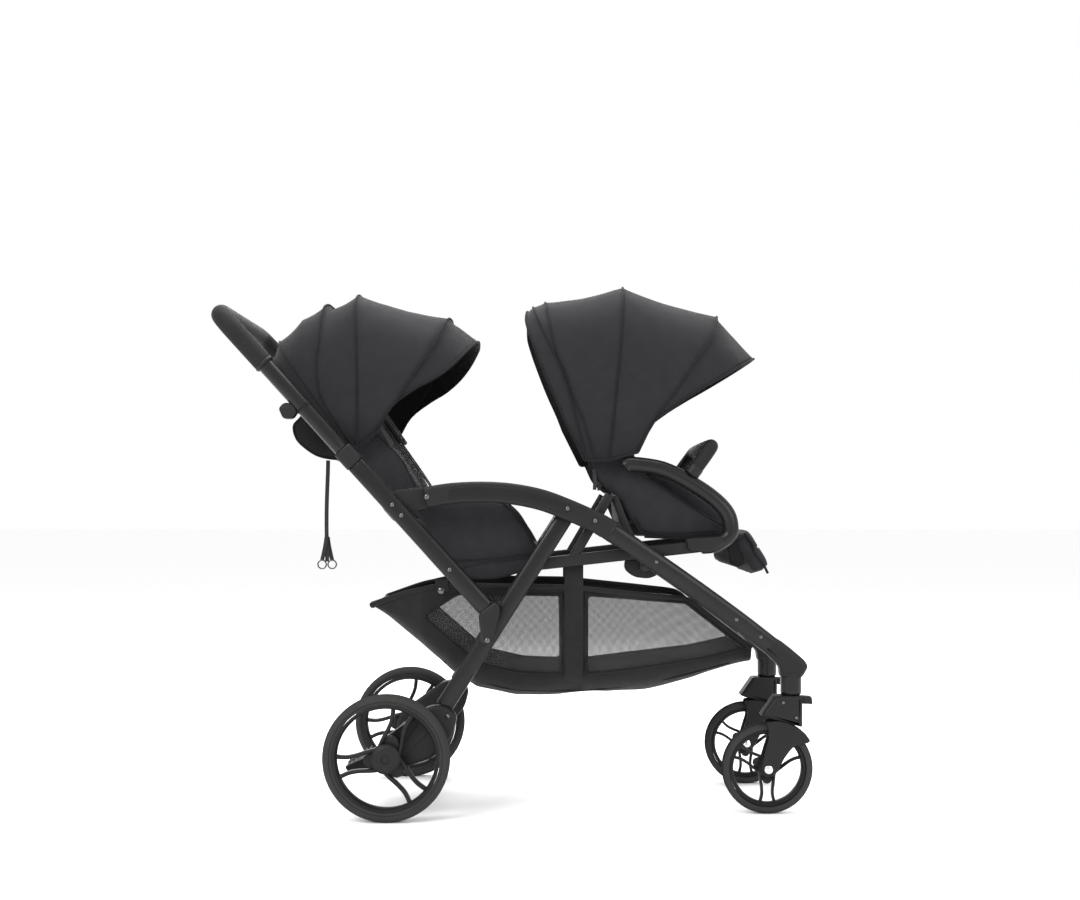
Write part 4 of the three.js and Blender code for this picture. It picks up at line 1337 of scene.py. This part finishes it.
def front_hood():
    stations = [
        ([(0.373, 0.680), (0.3445, 0.7333), (0.3231, 0.7867), (0.3037, 0.8295), (0.284, 0.8793),
          (0.2697, 0.9186), (0.261, 0.950), (0.262, 0.981)], 4.6),
        ([(0.3766, 0.680), (0.357, 0.760), (0.3374, 0.8295), (0.306, 0.905), (0.279, 0.968),
          (0.273, 0.990)], 4.6),
        ([(0.3945, 0.680), (0.377, 0.740), (0.3552, 0.7938), (0.336, 0.850), (0.3161, 0.9006),
          (0.297, 1.000)], 4.4),
        ([(0.4212, 0.680), (0.4336, 0.8117), (0.4424, 0.9006), (0.451, 1.028)], 4.2),
        ([(0.4727, 0.694), (0.5014, 0.753), (0.5226, 0.7797), (0.5531, 0.8206), (0.5912, 0.8766),
          (0.6213, 0.9217), (0.640, 0.972)], 3.4),
        ([(0.4737, 0.694), (0.5030, 0.7525), (0.525, 0.778), (0.557, 0.818), (0.595, 0.872), (0.626, 0.914),
          (0.645, 0.962)], 3.3),
        ([(0.4747, 0.695), (0.5040, 0.7517), (0.5347, 0.777), (0.5705, 0.802), (0.6081, 0.8251),
          (0.6465, 0.8465), (0.690, 0.872), (0.717, 0.889)], 3.0),
    ]
    hood("front", stations, FRONT_HOOD_PIVOT, SEAT_HALF + 0.027, 0.005, hood_cloth(),
         ["front_canopy_back", "front_canopy_front"], (1, 2, 3, 4))


# ---- basket ------------------------------------------------------------------------------------------


def between(table, x):
    """The value at x on a line through (x, value) points."""
    for (x0, v0), (x1, v1) in zip(table, table[1:]):
        if x <= x1:
            return v0 + (v1 - v0) * max(0.0, (x - x0) / (x1 - x0))
    return table[-1][1]


BASKET_RIM = [(-0.039, 0.402), (0.030, 0.426), (0.098, 0.441), (0.345, 0.437), (0.573, 0.413), (0.700, 0.316)]
BASKET_FLOOR = [(-0.039, 0.395), (0.040, 0.322), (0.114, 0.256), (0.163, 0.228), (0.240, 0.214),
                (0.326, 0.209), (0.420, 0.215), (0.498, 0.226), (0.593, 0.246), (0.700, 0.277)]
BASKET_WIDTH = [(-0.039, 0.150), (0.060, 0.180), (0.480, 0.182), (0.700, 0.137)]
MESH_WINDOWS = [
    [(0.128, 0.424), (0.062, 0.380), (0.145, 0.308), (0.178, 0.287), (0.249, 0.271), (0.330, 0.268),
     (0.328, 0.422)],
    [(0.378, 0.422), (0.572, 0.406), (0.688, 0.316), (0.600, 0.296), (0.480, 0.280), (0.378, 0.268)],
]


def basket_point(x, turn, inset=0.0):
    """A point of the basket's shell: turn 0 is the left rim, pi the right one."""
    rim, floor = between(BASKET_RIM, x), between(BASKET_FLOOR, x)
    half = between(BASKET_WIDTH, x) - inset
    drop = abs(math.sin(turn)) ** 0.42
    side = math.copysign(abs(math.cos(turn)) ** 0.5, math.cos(turn))
    sag = 0.004 * math.sin(21 * x) * math.sin(turn)
    return at(x, rim - (rim - floor) * drop + sag + 0.006 * math.sin(turn), side * (half - 0.010 * drop))


def basket_turn(share):
    """The turn at a share of the way round, with the walls stepped as finely as the floor."""
    half = 2 * min(share, 1 - share)
    turn = math.pi / 2 * half ** 2.4
    return turn if share < 0.5 else math.pi - turn


def inside(point, outline):
    x, z = point
    hit = False
    for (x0, z0), (x1, z1) in zip(outline, outline[1:] + outline[:1]):
        if (z0 > z) != (z1 > z) and x < x0 + (z - z0) * (x1 - x0) / (z1 - z0):
            hit = not hit
    return hit


def wall_point(x, z, side, inset=0.0):
    """The point of the basket's side wall at a side-view place."""
    low, high = 0.0, math.pi / 2
    for _ in range(24):
        turn = (low + high) / 2
        if basket_point(x, turn).z > z:
            low = turn
        else:
            high = turn
    point = basket_point(x, low, inset)
    return Vector((point.x, side * abs(point.y), point.z))


def basket():
    rows, columns = 148, 96
    start, end = BASKET_RIM[0][0], BASKET_RIM[-1][0]
    points = []
    for i in range(rows + 1):
        x = start + (end - start) * i / rows
        for j in range(columns + 1):
            points.append(basket_point(x, basket_turn(j / columns)))
    solid_faces, open_faces = [], []
    for i in range(rows):
        for j in range(columns):
            a = i * (columns + 1) + j
            quad = (a, a + 1, a + columns + 2, a + columns + 1)
            centre = sum((points[k] for k in quad), Vector()) / 4
            flat = (centre.x - AXLE.x, centre.z)
            on_wall = abs(centre.y) > 0.55 * between(BASKET_WIDTH, flat[0])
            seen_through = on_wall and any(inside(flat, window) for window in MESH_WINDOWS)
            (open_faces if seen_through else solid_faces).append(quad)
    last = rows * (columns + 1)
    solid_faces.append(tuple(range(last, last + columns + 1)))
    shell = mesh_object("basket_shell", points, solid_faces, basket_cloth())
    remove_loose(shell)
    windows = mesh_object("basket_mesh_windows", points, open_faces, open_mesh())
    remove_loose(windows)
    place(crumple(shell, 0.05, 0.0016), "rear_frame", "basket_mesh", "basket")
    place(windows, "rear_frame", "basket_mesh")
    soft = [shell, windows]
    trims = []
    for side_name, side in SIDES:
        for n, window in enumerate(MESH_WINDOWS):
            line = [wall_point(p.x, p.y, side, -0.0012) for p in rounded(window, 0.012, 3)]
            trims.append(cord_on(f"mesh_binding_{side_name}_{n}", line, piping_cloth(), 0.0030, 3,
                                 closed=True))
        rim = [basket_point(start + (end - start) * k / 30, 0.0) for k in range(31)]
        rim = [Vector((p.x, side * abs(p.y), p.z)) for p in rim]
        trims.append(cord_on(f"basket_rim_{side_name}", rim, basket_cloth(), 0.0050, 3))
        crease = [wall_point(x, between(BASKET_FLOOR, x) + 0.020, side, -0.0010)
                  for x in (0.10, 0.20, 0.30, 0.42, 0.54, 0.66)]
        trims.append(cord_on(f"basket_seam_{side_name}", crease, piping_cloth(), 0.0014))
    back = [basket_point(start, basket_turn(k / 40)) for k in range(41)]
    trims.append(cord_on("basket_back_edge", back, basket_cloth(), 0.0050, 3))
    soft.append(place(join("basket_bindings", *trims), "rear_frame", "basket_mesh"))
    for tag, side in SIDES:
        strap = [at(0.353, 0.496, side * (RAIL_Y - 0.011)), at(0.353, 0.460, side * (RAIL_Y - 0.012)),
                 wall_point(0.353, 0.425, side, -0.003), wall_point(0.353, 0.380, side, -0.003),
                 wall_point(0.353, 0.320, side, -0.003), wall_point(0.353, 0.270, side, -0.003),
                 wall_point(0.353, 0.232, side, -0.003)]
        tape = flat_strap(f"basket_hanger_{tag}", strap, 0.036, 0.0020, basket_cloth(), (1, 0, 0))
        soft.append(place(tape, "rear_frame", "basket_mesh"))
        hook = [at(0.098, 0.452, side * 0.186), at(0.099, 0.440, side * 0.187),
                at(0.100, 0.428, side * 0.186)]
        tab = flat_strap(f"basket_tab_{tag}", hook, 0.024, 0.0024, basket_cloth(), (1, 0, 0))
        soft.append(place(tab, "rear_frame", "basket_mesh"))
        snap = turned(f"basket_snap_{tag}", at(0.098, 0.430, side * 0.1885), [
            (0, -0.001), (0.0062, -0.001), (0.0062, 0.001), (0.0045, 0.0022), (0, 0.0026)],
            dark_steel(), 24, side)
        soft.append(place(snap, "rear_frame", "bright_steel"))
    fold_away(0.3, at(0.3, 0.215), *soft)


def remove_loose(thing):
    shape = bmesh.new()
    shape.from_mesh(thing.data)
    loose = [v for v in shape.verts if not v.link_faces]
    bmesh.ops.delete(shape, geom=loose, context="VERTS")
    shape.to_mesh(thing.data)
    shape.free()


camera()
recline_strap()
studio()
wheels()
rear_frame()
front_frame()
bumper()
casters()
push_handle()
rear_seat()
backrest_sling()
front_seat()
rear_hood()
front_hood()
basket()
